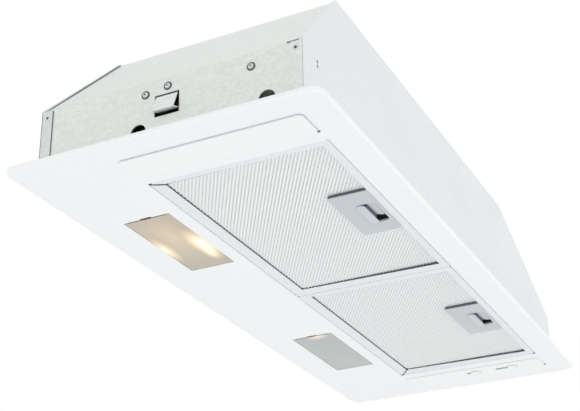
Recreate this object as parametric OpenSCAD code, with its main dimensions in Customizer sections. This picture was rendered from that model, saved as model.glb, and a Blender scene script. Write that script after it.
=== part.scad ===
/* [Face panel] */
// Length of the face panel, along X
panel_l = 695.5; // [694:0.5:750]
// Width of the face panel, along Y
panel_w = 278; // [277:0.5:316]
// Height of the panel's folded edge
panel_h = 4; // [3.8:0.1:6]
// Radius of the panel's corners
panel_corner_r = 12; // [10:1:28]
// Thickness of the pressed panel sheet
panel_t = 1.5; // [1.2:0.1:1.7]
// Width of the turned-in lip that seats under the cabinet
lip_w = 8; // [6:0.5:8.5]

/* [Housing] */
// Length of the housing over its end flanges, along X
body_l = 655; // [650:1:658]
// Width of the housing at the panel, along Y
body_w = 235; // [234:0.5:238]
// Height of the end-wall bend above the cabinet seat
wall_h = 55.3; // [54:0.1:60]
// Height of the top plate above the cabinet seat
body_h = 145.5; // [144.5:0.5:150]
// X of the top plate's near edge, where the steep shoulder ends
top_near_x = -240; // [-250:1:-225]
// X of the top plate's far edge, where the shallow shoulder starts
top_far_x = 198; // [190:1:215]
// Width of the housing at the top plate
top_w = 217; // [214:0.5:222]
// Thickness of the galvanised sheet
sheet_t = 1; // [0.8:0.1:1.2]
// Width of the side plates' flanges on the end walls
flange_w = 10; // [8:0.5:11]
// Width of the side plates' flanges on the shoulders and top
top_flange_w = 4; // [3:0.5:6]

/* [Grease filters] */
// Length of the filter opening in the panel
opening_l = 551; // [548:0.5:554]
// Y of the opening's front edge
opening_front_y = -112.5; // [-113:0.1:-112]
// Y of the opening's rear edge
opening_rear_y = 47.5; // [47:0.1:48]
// Height of one filter cassette
filter_h = 9; // [8.5:0.1:9.5]
// Width of the cassette's visible border
border_w = 10; // [9:0.5:11]
// Width of the border along the latch edge
front_border_w = 8; // [7:0.5:8]
// Thickness of one expanded-metal mesh sheet
mesh_t = 0.6; // [0.5:0.1:0.8]

/* [Latches] */
// Length of a latch plate, along X
latch_l = 80; // [76:1:84]
// Width of a latch plate, along Y
latch_w = 36; // [35:0.5:37]
// Distance of a latch plate's middle from the object's middle, along X
latch_x = 142; // [138:1:146]
// Travel of the latch slide
latch_travel = 4; // [3:0.5:4]

/* [Lamps] */
// Distance of a lamp's middle from the object's middle, along X
lamp_x = 164; // [160:1:168]
// Y of the lamps' middle
lamp_y = 83; // [82:0.5:84]
// Length of a lamp cover, along X
lens_l = 115; // [110:1:118]
// Width of a lamp cover, along Y
lens_w = 44; // [42:0.5:45]
// Thickness of a lamp cover
lens_t = 3; // [2.5:0.1:4]

/* [Controls] */
// Travel of the light slider
light_travel = 8; // [6:0.5:10]
// Travel of the speed slider
speed_travel = 18; // [15:0.5:20]

/* [Blower] */
// Outer radius of the impeller
impeller_r = 43; // [41:0.5:44]
// Number of blades on each half of the impeller
blade_count = 24; // [16:1:32]
// Radius of the motor casing
motor_r = 27; // [24:0.5:28]

/* [Outlet] */
// Outer radius of the outlet collar
collar_r = 60; // [58:0.5:62]
// Height of the outlet collar above the top plate
collar_h = 46; // [42:1:50]
// Wall of the outlet collar
collar_t = 1.5; // [1.2:0.1:2]

/* [Hidden] */
$fn = 64;
big = 1000;
nudge = 0.01;

galvanised = [0.84, 0.87, 0.86];
white_paint = [0.96, 0.97, 0.98];
latch_grey = [0.74, 0.78, 0.81];
zinc = [0.78, 0.79, 0.8];

// Panel levels: the underside, the upper face of its sheet, and the underside of its lip.
under_z = -panel_h;
floor_z = under_z + panel_t;
panel_edge_r = 2.4;
// The panel's middle; it reaches a little further beyond the housing at the far and rear sides.
panel_mid = [2.25, 1];
kerb_t = 1.2;
kerb_h = 5.5;
kerb_top = floor_z + kerb_h;

// Housing outlines, all on the outer face of the sheet.
flange_t = 1;
wall_x = body_l / 2 - flange_t;
side_y = body_w / 2;
shell_pts = [[-wall_x, floor_z], [-wall_x, wall_h], [top_near_x, body_h],
    [top_far_x, body_h], [wall_x, wall_h], [wall_x, floor_z]];
side_lean = (side_y - top_w / 2) / (body_h - wall_h);
side_rise = body_h + 4;
side_pts = [[-side_y, floor_z], [-side_y, wall_h],
    [-side_y + side_lean * (side_rise - wall_h), side_rise]];
foot_w = 10;
bend_relief_r = 1.6;

// Screw heads and shanks.
screw_head_r = 3.4;
screw_head_h = 1.8;
screw_shank_r = 1.6;
screw_hole_r = 1.7;
side_screw_y = side_y - 5.6;
side_screw_z = 48;
plate_hole_x = -301.5;
plate_hole_z = [48.3, 44.4];
plate_hole_r = 1.5;
panel_screw_x = [-270, 0, 270];
panel_screw_y = side_y + foot_w / 2;

// End walls: round lifting holes, the clip window, and screws as [y, z].
lift_hole_r = 7;
lift_hole_z = 12;
lift_hole_y = [24.8, -87];
window_y = -0.5;
window_w = 22;
window_z0 = 21.6;
window_z1 = 40.8;
clip_screws = [[19, 44], [-1, 47]];
transformer_screw = [-74, 43];
transformer_y0 = -108;
transformer_z0 = 22;
transformer_l = 56;
transformer_d = 28;
transformer_h = 31;
clip_t = 0.8;
clip_w = 19;
clip_hinge_z = 39.5;
clip_lean = 6;
clip_knee_z = 23.8;
clip_toe_z = 27;
clip_pts = [[-wall_x + 0.4, clip_hinge_z], [-wall_x - clip_lean, clip_knee_z], [-wall_x + 3, clip_toe_z]];
clip_bore_r = 0.5;
clip_bore_x = -wall_x + 3.8;

// Strips on the panel's underside, as [first x, length]; both share one Y range.
strip_t = 1.6;
strip_y0 = -111.5;
strip_w = 160.5;
strip_r = 4;
near_strip = [-319, 30];
far_strip = [289.5, 26];
slider_x = far_strip[0] + far_strip[1] / 2;
light_y = -34;
speed_y = -78;
slot_w = 5;
slot_gap = 0.4;
stem_w = 4;
stem_l = 5;
cap_l = 9;
cap_w = 13;
cap_h = 2.4;
switch_h = 14;
switch_w = 18;
switch_end = 6;
terminal_l = 5;

// Filter cassettes: each pivots on its rear lower edge.
filter_gap = 0.7;
filter_l = opening_l / 2 - 1;
filter_y0 = opening_front_y + filter_gap;
filter_y1 = opening_rear_y - filter_gap;
filter_cx = filter_l / 2 + 0.5;
rail_t = 2.4;
channel_t = 1.2;
mesh_z = under_z + rail_t;
filter_top_z = under_z + filter_h;
pad_top_z = filter_top_z - channel_t - mesh_t;
tab_w = 16;
tab_x = 90;
tab_l = 5;
tab_z = -0.5;
tab_t = 1.6;

// Latch, worked out from the middle of its plate.
latch_y = -86;
latch_skin = 1.8;
latch_wall = 1.5;
latch_clear = 0.3;
pocket_x0 = -17;
pocket_x1 = 20;
pocket_y0 = -15;
pocket_y1 = 0.2;
pocket_r = 4;
ridge_y1 = 2;
ridge_h = 1.2;
slide_z = under_z + latch_skin + 0.6;
slide_t = 1.8;
neck_x0 = -13;
neck_y0 = -6.8;
neck_y1 = -4.2;
grip_x1 = 9.5;
tongue_w = 24;
tongue_reach = 0.4;
slide_rear_y = 10 - latch_travel;
slide_front_y = -14;
slide_margin = 5;
spring_x = -4;
spring_r = 2.2;
spring_wire = 0.5;
spring_turns = 6;
spring_z = under_z + 4.5;

// Lamps.
lens_gap = 0.5;
lamp_wall = 0.8;
lamp_box_l = 124;
lamp_box_w = 52;
lamp_box_h = 36;
lamp_flange = 3;
pry_l = 11;
pry_d = 1.6;
reflector_t = 0.7;
reflector_low = 2;
reflector_knee = 10;
reflector_top = 27;
holder_z = floor_z + 16;
holder_x = lamp_box_l / 2 - lamp_wall;
holder_r = 9;
holder_l = 14;
bulb_r = 6;
bulb_base_r = 5;
bulb_l = 28;

// Blower scroll: a spiral of radius scroll_r(turn) about the impeller's axis.
blower_x = -20;
blower_y = 11.5;
blower_z = 74;
blower_half = 48;
scroll_wall = 2;
scroll_r0 = 47.5;
scroll_growth = 14.5;
tongue_angle = 35;
spiral_sweep = 180 + tongue_angle;
spiral_steps = 30;
duct_top = body_h - sheet_t;
inlet_r = 38;
ear_w = 12;
ear_x = 34;
ear_reach = 86;
ear_screw_y = 79;
ear_start = 48;
ear_t = 2;
blower_screw_places = [for (x = [-ear_x, ear_x], y = [-1, 1]) [blower_x + x, y * ear_screw_y]];
hub_r = 10;
hub_l = 14;
shaft_r = 3;
blade_depth = 10;
blade_t = 1.2;
impeller_half = 43;
motor_l = 40;
motor_end_x = blower_x - 4;
bracket_x = blower_x - blower_half - scroll_wall;
bracket_t = 1.5;
arm_w = 10;
bracket_r = 46;
bracket_screw_r = 42;
boss_r = 18;
bracket_disc_r = 20;
boss_screw_r = 12;
spider_angles = [30, 150, 270];

capacitor_x = 70;
capacitor_y = -70;
capacitor_r = 14;
capacitor_l = 46;
saddle_l = 20;

// Outlet.
collar_flange_r = 70;
collar_flange_t = 2;
collar_base_z = body_h;
pin_z = collar_base_z + 18;
pin_r = 1.5;
flap_t = 1.2;
flap_r = collar_r - collar_t - 1;
knuckle_r = 3;
knuckle_bore_r = 1.6;
knuckle_l = 13;
knuckle_spread = 24;
collar_screw_r = 65.5;
collar_screw_places = [for (a = [45:90:315]) [blower_x + collar_screw_r * cos(a), collar_screw_r * sin(a)]];

// Electrics on the top plate.
box_x = 112;
box_l = 74;
box_w = 52;
box_h = 30;
box_t = 1.8;
gland_x = 112;
gland_r = 8;
gland_bore_r = 3.8;
gland_thread_r = 6.3;
gland_hex_r = 11;
gland_hex_h = 5;
gland_dome_h = 9;
lid_t = 1.8;
lid_rim_h = 3;

function unit(v) = v / norm(v);
function outward(a, b) = let (d = unit(b - a)) [-d[1], d[0]];
// A path's point i, moved outwards by t along the mitre of its two neighbours.
function mitred(pts, i, t) = let (
    n1 = i > 0 ? outward(pts[i - 1], pts[i]) : outward(pts[0], pts[1]),
    n2 = i < len(pts) - 1 ? outward(pts[i], pts[i + 1]) : n1)
    pts[i] + t * (n1 + n2) / (1 + n1 * n2);
function moved_path(pts, t) = [for (i = [0:len(pts) - 1]) mitred(pts, i, t)];
function reversed(pts) = [for (i = [len(pts) - 1:-1:0]) pts[i]];
// Where a flap's two knuckles sit along the pin; the flaps' knuckles alternate.
function flap_knuckles(dir) = [dir * 12 - knuckle_spread, dir * 12 + knuckle_spread];
function scroll_r(turn) = scroll_r0 + scroll_growth * turn / spiral_sweep;

module along_x(length) rotate([90, 0, 90]) linear_extrude(height = length, center = true) children();
module along_y(length) rotate([90, 0, 0]) linear_extrude(height = length, center = true) children();
module each_end() {
    children();
    mirror([1, 0, 0]) children();
}
module each_side() {
    children();
    mirror([0, 1, 0]) children();
}
// The band between two offsets of a sheet's path.
module band(pts, t0, t1) polygon(concat(moved_path(pts, t0), reversed(moved_path(pts, t1))));

// A rectangle centred on the origin, with true arcs at its corners.
module round_rect(l, w, r) {
    square([l - 2 * r, w], center = true);
    square([l, w - 2 * r], center = true);
    for (x = [-1, 1], y = [-1, 1]) translate([x * (l / 2 - r), y * (w / 2 - r)]) circle(r);
}
// A box from [x0, y0, z0] to [x1, y1, z1].
module box(a, b) translate(a) cube(b - a);

// ---------------------------------------------------------------- face panel
// Half of the slab's section, from its middle out to reach, with the lower outer edge rolled over.
module edge_section(reach) {
    r = panel_edge_r;
    square([reach - r, panel_h]);
    translate([0, r]) square([reach, panel_h - r]);
    translate([reach - r, r]) circle(r, $fn = 32);
}

// A slab with arcs at its corners, whose lower outer edge is rolled over.
module rolled_slab() translate([panel_mid[0], panel_mid[1], under_z]) {
    corner_x = panel_l / 2 - panel_corner_r;
    corner_y = panel_w / 2 - panel_corner_r;
    translate([0, 0, panel_h / 2]) cube([2 * corner_x, 2 * corner_y, panel_h], center = true);
    for (a = [0, 180]) rotate([0, 0, a]) {
        translate([0, corner_y, 0]) rotate([90, 0, 90])
            linear_extrude(height = 2 * corner_x, center = true) edge_section(panel_corner_r);
        translate([corner_x, 0, 0]) rotate([90, 0, 0])
            linear_extrude(height = 2 * corner_y, center = true) edge_section(panel_corner_r);
        translate([corner_x, corner_y, 0]) rotate_extrude(angle = 90) edge_section(panel_corner_r);
        translate([-corner_x, corner_y, 0]) rotate([0, 0, 90])
            rotate_extrude(angle = 90) edge_section(panel_corner_r);
    }
}

module filter_opening(grow, z0, z1)
    box([-opening_l / 2 - grow, opening_front_y - grow, z0],
        [opening_l / 2 + grow, opening_rear_y + grow, z1]);

module lamp_opening(grow, z0, z1)
    each_end() box([lamp_x - lens_l / 2 - lens_gap - grow, lamp_y - lens_w / 2 - lens_gap - grow, z0],
        [lamp_x + lens_l / 2 + lens_gap + grow, lamp_y + lens_w / 2 + lens_gap + grow, z1]);

// The pry notch beside each lamp cover, on the edge that swings down.
module pry_notches()
    for (x = [-lamp_x, lamp_x])
        box([x - lens_l / 2 - lens_gap - pry_d, lamp_y - pry_l / 2, under_z - 1],
            [x - lens_l / 2 - lens_gap + nudge, lamp_y + pry_l / 2, floor_z + 1]);

module slider_slot(y, travel, z0, z1, grow = 0)
    box([slider_x - slot_w / 2 - grow, y - stem_l / 2 - slot_gap - grow, z0],
        [slider_x + slot_w / 2 + grow, y + stem_l / 2 + travel + slot_gap + grow, z1]);

module face_panel() color(white_paint) difference() {
    union() {
        difference() {
            rolled_slab();
            translate([panel_mid[0], panel_mid[1], floor_z]) linear_extrude(height = panel_h - 2 * panel_t)
                round_rect(panel_l - 2 * panel_t, panel_w - 2 * panel_t, panel_corner_r - panel_t);
            translate([panel_mid[0], panel_mid[1], -panel_t - nudge]) linear_extrude(height = panel_t + 1)
                round_rect(panel_l - 2 * lip_w, panel_w - 2 * lip_w, panel_corner_r - lip_w);
        }
        filter_opening(kerb_t, floor_z - nudge, kerb_top);
    }
    filter_opening(0, under_z - 1, kerb_top + 1);
    lamp_opening(0, under_z - 1, floor_z + 1);
    pry_notches();
    // Notches in the kerb for the cassettes' rear tabs.
    for (side = [-1, 1], x = [-tab_x, tab_x])
        box([side * filter_cx + x - tab_w / 2 - 1, opening_rear_y - 1, tab_z - 1],
            [side * filter_cx + x + tab_w / 2 + 1, opening_rear_y + kerb_t + 1, kerb_top + 1]);
    slider_slot(light_y, light_travel, under_z - 1, floor_z + 1);
    slider_slot(speed_y, speed_travel, under_z - 1, floor_z + 1);
    each_side() for (x = panel_screw_x)
        translate([x, panel_screw_y, under_z + panel_t / 2])
            cylinder(r = screw_hole_r, h = panel_t, $fn = 24);
}

module strip_plate(span)
    translate([span[0] + span[1] / 2, strip_y0 + strip_w / 2, under_z - strip_t])
        linear_extrude(height = strip_t) round_rect(span[1], strip_w, strip_r);

module blank_strip() color(white_paint) strip_plate(near_strip);

module control_strip() color(white_paint) difference() {
    strip_plate(far_strip);
    slider_slot(light_y, light_travel, under_z - strip_t - 1, under_z + 1);
    slider_slot(speed_y, speed_travel, under_z - strip_t - 1, under_z + 1);
}

// ---------------------------------------------------------------- housing
// The space between the side plates, as one solid.
module between_sides() {
    inner = moved_path(side_pts, -sheet_t);
    mirrored = [for (p = reversed(inner)) [-p[0], p[1]]];
    along_x(big) polygon(concat(inner, mirrored));
}

// A screw hole through the near end wall.
module wall_hole(y, z) translate([-wall_x, y, z]) rotate([0, 90, 0])
    cylinder(r = screw_hole_r, h = 3 * sheet_t, center = true, $fn = 24);

module housing_shell() color(galvanised) difference() {
    intersection() {
        along_y(big) band(shell_pts, -sheet_t, 0);
        between_sides();
    }
    each_end() {
        for (y = lift_hole_y) translate([-wall_x, y, lift_hole_z])
            rotate([0, 90, 0]) cylinder(r = lift_hole_r, h = 3 * sheet_t, center = true);
        box([-wall_x - 1, window_y - window_w / 2, window_z0],
            [-wall_x + sheet_t + 1, window_y + window_w / 2, window_z1]);
        for (s = clip_screws) wall_hole(s[0], s[1]);
        for (y = [-side_screw_y, side_screw_y]) wall_hole(y, side_screw_z);
    }
    wall_hole(transformer_screw[0], transformer_screw[1]);
    translate([blower_x, 0, body_h - 2 * sheet_t]) cylinder(r = collar_r - collar_t, h = 4 * sheet_t);
    for (p = collar_screw_places) translate([p[0], p[1], body_h - 2 * sheet_t])
        cylinder(r = screw_hole_r, h = 4 * sheet_t, $fn = 24);
    for (p = blower_screw_places) translate([p[0], p[1], body_h - 2 * sheet_t])
        cylinder(r = screw_hole_r, h = 4 * sheet_t, $fn = 24);
    translate([gland_x, 0, body_h - 2 * sheet_t]) cylinder(r = gland_thread_r + 0.2, h = 4 * sheet_t);
}

// The front plate: a web that is upright to wall_h and then leans in, flanges over the shell, and a foot.
module side_plate() difference() {
    union() {
        intersection() {
            along_x(big) band(side_pts, -sheet_t, 0);
            along_y(big) polygon(moved_path(shell_pts, flange_t));
        }
        intersection() {
            along_y(big) band(shell_pts, 0, flange_t);
            union() {
                along_x(big) band(side_pts, -top_flange_w, 0);
                box([-big, -side_y, floor_z], [big, -side_y + flange_w, wall_h - bend_relief_r / 2]);
            }
        }
        box([-wall_x + flange_w, -side_y - foot_w, floor_z],
            [wall_x - flange_w, -side_y + sheet_t, floor_z + sheet_t]);
    }
    for (x = [-wall_x, wall_x]) {
        translate([x, -side_screw_y, side_screw_z])
            rotate([0, 90, 0]) cylinder(r = screw_hole_r, h = 4 * sheet_t, center = true, $fn = 24);
        translate([x, -side_y + flange_w, wall_h])
            rotate([90, 0, 0]) cylinder(r = bend_relief_r, h = 2 * flange_w - 5, center = true, $fn = 24);
    }
    for (x = panel_screw_x) translate([x, -panel_screw_y, floor_z - 1])
        cylinder(r = screw_hole_r, h = 3 * sheet_t, $fn = 24);
}

module front_side_plate() color([0.88, 0.9, 0.92]) difference() {
    side_plate();
    for (z = plate_hole_z) translate([plate_hole_x, -side_y, z])
        rotate([90, 0, 0]) cylinder(r = plate_hole_r, h = 4 * sheet_t, center = true, $fn = 24);
}

module rear_side_plate() color(galvanised) mirror([0, 1, 0]) side_plate();

// A pan-head screw along +Z: the head's flat is at z = 0 and its shank points down.
module screw(length) {
    difference() {
        cylinder(r = screw_head_r, h = screw_head_h, $fn = 32);
        for (a = [0, 90]) rotate([0, 0, a]) translate([0, 0, screw_head_h])
            cube([0.7, 2.8, 1.4], center = true);
    }
    translate([0, 0, -length]) cylinder(r = screw_shank_r, h = length + nudge, $fn = 24);
}

module side_plate_screws() color(zinc) each_end() for (y = [-side_screw_y, side_screw_y])
    translate([-wall_x - flange_t, y, side_screw_z]) rotate([0, -90, 0]) screw(5);

module panel_screws() color(zinc) each_side() for (x = panel_screw_x)
    translate([x, panel_screw_y, floor_z + sheet_t]) screw(sheet_t + panel_t / 2 - 0.1);

// ---------------------------------------------------------------- cabinet clips
// The fixed leaf behind the near end wall, with the two screw ears.
module clip_plate() difference() {
    box([-wall_x + sheet_t, window_y - window_w / 2 - 3, clip_hinge_z + 1.6],
        [-wall_x + sheet_t + clip_t, clip_screws[0][0] + 6, wall_h - 2.5]);
    for (s = clip_screws) translate([-wall_x, s[0], s[1]])
        rotate([0, 90, 0]) cylinder(r = screw_hole_r, h = 8, center = true, $fn = 24);
}

// The springy tongue: down and outwards to its knee, then back in through the window.
module clip_tongue() difference() {
    translate([0, window_y, 0]) along_y(clip_w) band(clip_pts, -clip_t / 2, clip_t / 2);
    translate([clip_bore_x, window_y, clip_hinge_z])
        rotate([90, 0, 0]) cylinder(r = clip_bore_r, h = clip_w + 2, center = true, $fn = 16);
}

module clip_plate_near() color("silver") clip_plate();
module clip_plate_far() color("silver") mirror([1, 0, 0]) clip_plate();
module clip_tongue_near() color("silver") clip_tongue();
module clip_tongue_far() color("silver") mirror([1, 0, 0]) clip_tongue();

module wall_screw(place) translate([-wall_x, place[0], place[1]]) rotate([0, -90, 0]) screw(4.5);

module end_wall_screws() color(zinc) {
    each_end() for (s = clip_screws) wall_screw(s);
    wall_screw(transformer_screw);
}

// ---------------------------------------------------------------- grease filters
// Everything of a cassette is drawn about its own middle, and moved out by filter_cx on its side.
function latch_shift(side) = side * (latch_x - filter_cx);

module latch_room(side, grow, z0, z1)
    box([latch_shift(side) - latch_l / 2 - grow, latch_y - latch_w / 2 - grow, z0],
        [latch_shift(side) + latch_l / 2 + grow, latch_y + latch_w / 2 + grow, z1]);

// The way out for a latch's tongue, forwards from its plate.
module tongue_room(side, z0, z1)
    box([latch_shift(side) - tongue_w / 2 - 0.6, filter_y0 - 1, z0],
        [latch_shift(side) + tongue_w / 2 + 0.6, latch_y - latch_w / 2, z1]);

module filter_frame(side) color([0.85, 0.87, 0.88]) translate([side * filter_cx, 0, 0]) difference() {
    union() {
        box([-filter_l / 2, filter_y0, under_z], [filter_l / 2, filter_y1, filter_top_z]);
        for (x = [-tab_x, tab_x])
            box([x - tab_w / 2, filter_y1 - nudge, tab_z],
                [x + tab_w / 2, filter_y1 + tab_l, tab_z + tab_t]);
    }
    inner_x = filter_l / 2 - border_w;
    box([-inner_x, filter_y0 + front_border_w, under_z - 1], [inner_x, filter_y1 - border_w, filter_top_z + 1]);
    box([-filter_l / 2 + channel_t, filter_y0 + channel_t, mesh_z],
        [filter_l / 2 - channel_t, filter_y1 - channel_t, filter_top_z - channel_t]);
    latch_room(side, latch_clear, under_z - 1, filter_top_z + 1);
    tongue_room(side, slide_z - 0.4, slide_z + slide_t + 0.4);
}

// One layer inside the cassette's channel, cut away around the latch.
module filter_layer(side, z0, z1) translate([side * filter_cx, 0, 0]) difference() {
    edge = channel_t + 0.2;
    box([-filter_l / 2 + edge, filter_y0 + front_border_w - 2, z0],
        [filter_l / 2 - edge, filter_y1 - edge, z1]);
    latch_room(side, latch_clear, z0 - 1, z1 + 1);
    tongue_room(side, under_z, filter_top_z);
}

module filter_mesh(side) color("gainsboro") filter_layer(side, mesh_z, mesh_z + mesh_t);
module filter_core(side) color([0.7, 0.72, 0.73]) filter_layer(side, mesh_z + mesh_t, pad_top_z);
module filter_back(side) color("gainsboro") filter_layer(side, pad_top_z, pad_top_z + mesh_t);

// ---------------------------------------------------------------- latches
module at_latch(side) translate([side * latch_x, latch_y, 0]) children();

module pocket_outline()
    translate([(pocket_x0 + pocket_x1) / 2, (pocket_y0 + pocket_y1) / 2])
        round_rect(pocket_x1 - pocket_x0, pocket_y1 - pocket_y0, pocket_r);

module latch_plate(side) color(latch_grey) at_latch(side) difference() {
    box([-latch_l / 2, -latch_w / 2, under_z], [latch_l / 2, latch_w / 2, filter_top_z]);
    box([-latch_l / 2 + latch_wall, -latch_w / 2 + latch_wall, under_z + latch_skin],
        [latch_l / 2 - latch_wall, latch_w / 2 - latch_wall, filter_top_z + 1]);
    translate([0, 0, under_z - 1]) linear_extrude(height = latch_skin + 2) pocket_outline();
    box([-tongue_w / 2 - 0.5, -latch_w / 2 - 1, slide_z - 0.4],
        [tongue_w / 2 + 0.5, -latch_w / 2 + latch_wall + 1, filter_top_z + 1]);
}

module latch_slide(side) color([0.8, 0.83, 0.86]) at_latch(side) {
    // The plate under the finger pocket, short of the pocket's deep end.
    box([pocket_x0 - slide_margin, slide_front_y, slide_z], [grip_x1, slide_rear_y, slide_z + slide_t]);
    // The neck and the raised pull bar.
    box([neck_x0, neck_y0, under_z - nudge], [grip_x1, neck_y1, slide_z + nudge]);
    translate([(pocket_x0 + pocket_x1) / 2, (neck_y0 + ridge_y1) / 2, under_z - ridge_h])
        linear_extrude(height = ridge_h - 0.1)
            round_rect(pocket_x1 - pocket_x0, ridge_y1 - neck_y0, 3);
    box([neck_x0, neck_y0, under_z - 0.2], [grip_x1, neck_y1, under_z]);
    // The tongue, short of the panel's edge.
    box([-tongue_w / 2, opening_front_y + tongue_reach - latch_y, slide_z],
        [grip_x1 - 0.5, slide_front_y + nudge, slide_z + slide_t]);
}

// A close-wound spring between the slide and the latch plate's rear wall, as one ribbed sleeve.
module latch_spring(side) color("silver") at_latch(side) {
    y0 = slide_rear_y + 0.1;
    y1 = latch_w / 2 - latch_wall - 0.1;
    pitch = (y1 - y0 - 2 * spring_wire) / spring_turns;
    translate([spring_x, y0, spring_z]) rotate([-90, 0, 0]) rotate_extrude($fn = 32) {
        translate([spring_r - spring_wire * 0.8, spring_wire])
            square([spring_wire * 0.6, y1 - y0 - 2 * spring_wire]);
        for (i = [0:spring_turns]) translate([spring_r - spring_wire / 2, spring_wire + i * pitch])
            circle(spring_wire, $fn = 16);
    }
}

// ---------------------------------------------------------------- lamps
module at_lamp(side) translate([side * lamp_x, lamp_y, 0]) children();

module lamp_lens(side) color([0.93, 0.88, 0.76]) at_lamp(side)
    box([-lens_l / 2, -lens_w / 2, under_z], [lens_l / 2, lens_w / 2, under_z + lens_t]);

// A box over the opening, with a flange on the panel and cooling slots in its roof.
module lamp_housing(side) color(galvanised) at_lamp(side) difference() {
    top = floor_z + lamp_box_h;
    union() {
        box([-lamp_box_l / 2, -lamp_box_w / 2, floor_z], [lamp_box_l / 2, lamp_box_w / 2, top]);
        box([-lamp_box_l / 2 - lamp_flange, -lamp_box_w / 2, floor_z],
            [lamp_box_l / 2 + lamp_flange, lamp_box_w / 2, floor_z + lamp_wall]);
    }
    box([-lamp_box_l / 2 + lamp_wall, -lamp_box_w / 2 + lamp_wall, floor_z - 1],
        [lamp_box_l / 2 - lamp_wall, lamp_box_w / 2 - lamp_wall, top - lamp_wall]);
    for (x = [-40:16:40]) box([x - 4, -14, top - 2], [x + 4, 14, top + 1]);
    translate([lamp_box_l / 2, 0, holder_z]) rotate([0, 90, 0]) cylinder(r = 5, h = 4, center = true);
}

// A bright trough around the bulb, open below and at the lamp holder's end.
module lamp_reflector(side) color("white") at_lamp(side) {
    x0 = -lamp_box_l / 2 + 6;
    x1 = lamp_box_l / 2 - 26;
    w = lamp_box_w / 2 - 2;
    low = floor_z + reflector_low;
    knee = floor_z + reflector_knee;
    high = floor_z + reflector_top;
    trough = [[-w, low], [-w, knee], [-w / 2, high], [w / 2, high], [w, knee], [w, low]];
    translate([(x0 + x1) / 2, 0, 0]) along_x(x1 - x0) band(trough, -reflector_t, 0);
    box([x0, -w, low], [x0 + reflector_t, w, knee - 0.4]);
}

module lamp_holder(side) color("ivory") at_lamp(side) difference() {
    translate([holder_x, 0, holder_z]) rotate([0, -90, 0]) union() {
        cylinder(r = holder_r, h = holder_l);
        translate([0, 0, -lamp_wall - 4]) cylinder(r = holder_r / 2, h = 6);
    }
    translate([holder_x - holder_l - 1, 0, holder_z])
        rotate([0, 90, 0]) cylinder(r = bulb_base_r + 0.2, h = 9);
}

module lamp_bulb(side) color([1, 0.93, 0.75]) at_lamp(side)
    translate([holder_x - holder_l / 2, 0, holder_z]) rotate([0, -90, 0]) {
        base_l = 10;
        cylinder(r = bulb_base_r, h = base_l);
        translate([0, 0, base_l - nudge]) cylinder(r = bulb_r, h = bulb_l);
        translate([0, 0, base_l + bulb_l - nudge]) sphere(bulb_r);
    }

// ---------------------------------------------------------------- controls
module switch_body(y, travel) {
    length = travel + stem_l + 2 * switch_end;
    middle = y + travel / 2;
    difference() {
        box([slider_x - switch_w / 2, middle - length / 2, floor_z],
            [slider_x + switch_w / 2, middle + length / 2, floor_z + switch_h]);
        slider_slot(y, travel, floor_z - 1, floor_z + 6, 0.2);
    }
    for (dy = [-4, 4], dx = [-4, 4])
        box([slider_x + dx - 0.4, middle + dy - 1.5, floor_z + switch_h - nudge],
            [slider_x + dx + 0.4, middle + dy + 1.5, floor_z + switch_h + terminal_l]);
}

// A stem through the strip and the panel, with a low ribbed cap below the strip.
module slider(y) {
    cap_z = under_z - strip_t - 0.3;
    difference() {
        box([slider_x - cap_w / 2, y - cap_l / 2, cap_z - cap_h],
            [slider_x + cap_w / 2, y + cap_l / 2, cap_z]);
        for (dy = [-2.4, 0, 2.4])
            box([slider_x - cap_w / 2 - 1, y + dy - 0.4, cap_z - cap_h - 1],
                [slider_x + cap_w / 2 + 1, y + dy + 0.4, cap_z - cap_h + 0.6]);
    }
    box([slider_x - stem_w / 2, y - stem_l / 2, cap_z - nudge],
        [slider_x + stem_w / 2, y + stem_l / 2, floor_z + 5]);
}

module light_switch() color([0.2, 0.2, 0.22]) switch_body(light_y, light_travel);
module speed_switch() color([0.2, 0.2, 0.22]) switch_body(speed_y, speed_travel);
module light_slider() color(white_paint) slider(light_y);
module speed_slider() color(white_paint) slider(speed_y);

module lamp_transformer() color([0.85, 0.85, 0.82]) difference() {
    box([-wall_x + sheet_t, transformer_y0, transformer_z0],
        [-wall_x + sheet_t + transformer_d, transformer_y0 + transformer_l, transformer_z0 + transformer_h]);
    translate([-wall_x, transformer_screw[0], transformer_screw[1]])
        rotate([0, 90, 0]) cylinder(r = screw_hole_r, h = 12, center = true, $fn = 24);
}

// ---------------------------------------------------------------- blower
// The scroll's outline at a distance from its inner face; 2D x is the object's Y and 2D y its Z.
function spiral(extra) = [for (i = [0:spiral_steps]) let (turn = spiral_sweep * i / spiral_steps)
    [blower_y, blower_z] + (scroll_r(turn) + extra) * [cos(tongue_angle - turn), sin(tongue_angle - turn)]];
module scroll_outline(extra, top) {
    pts = spiral(extra);
    last = pts[len(pts) - 1];
    polygon(concat(pts, [[last[0], top], [pts[0][0], top]]));
}

module blower_half_shell(dir) {
    middle = blower_x + dir * blower_half / 2;
    outer = blower_half + scroll_wall;
    difference() {
        union() {
            translate([blower_x + dir * outer / 2, 0, 0])
                along_x(outer) scroll_outline(scroll_wall, duct_top);
            for (y = [ear_start, -ear_reach])
                translate([blower_x + dir * ear_x - ear_w / 2, y, duct_top - ear_t])
                    cube([ear_w, ear_reach - ear_start, ear_t]);
        }
        translate([middle - dir * 1, 0, 0]) along_x(blower_half + 2) scroll_outline(0, duct_top + 5);
        translate([blower_x + dir * outer, blower_y, blower_z])
            rotate([0, 90, 0]) cylinder(r = inlet_r, h = 4 * scroll_wall, center = true);
        for (p = blower_screw_places) translate([p[0], p[1], duct_top - 2 * ear_t])
            cylinder(r = screw_hole_r, h = 3 * ear_t, $fn = 24);
        for (a = spider_angles) translate([blower_x + dir * outer, blower_y, blower_z])
            rotate([a, 0, 0]) translate([0, bracket_screw_r, 0])
                rotate([0, 90, 0]) cylinder(r = screw_hole_r, h = 4 * scroll_wall, center = true, $fn = 24);
    }
}

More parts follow.
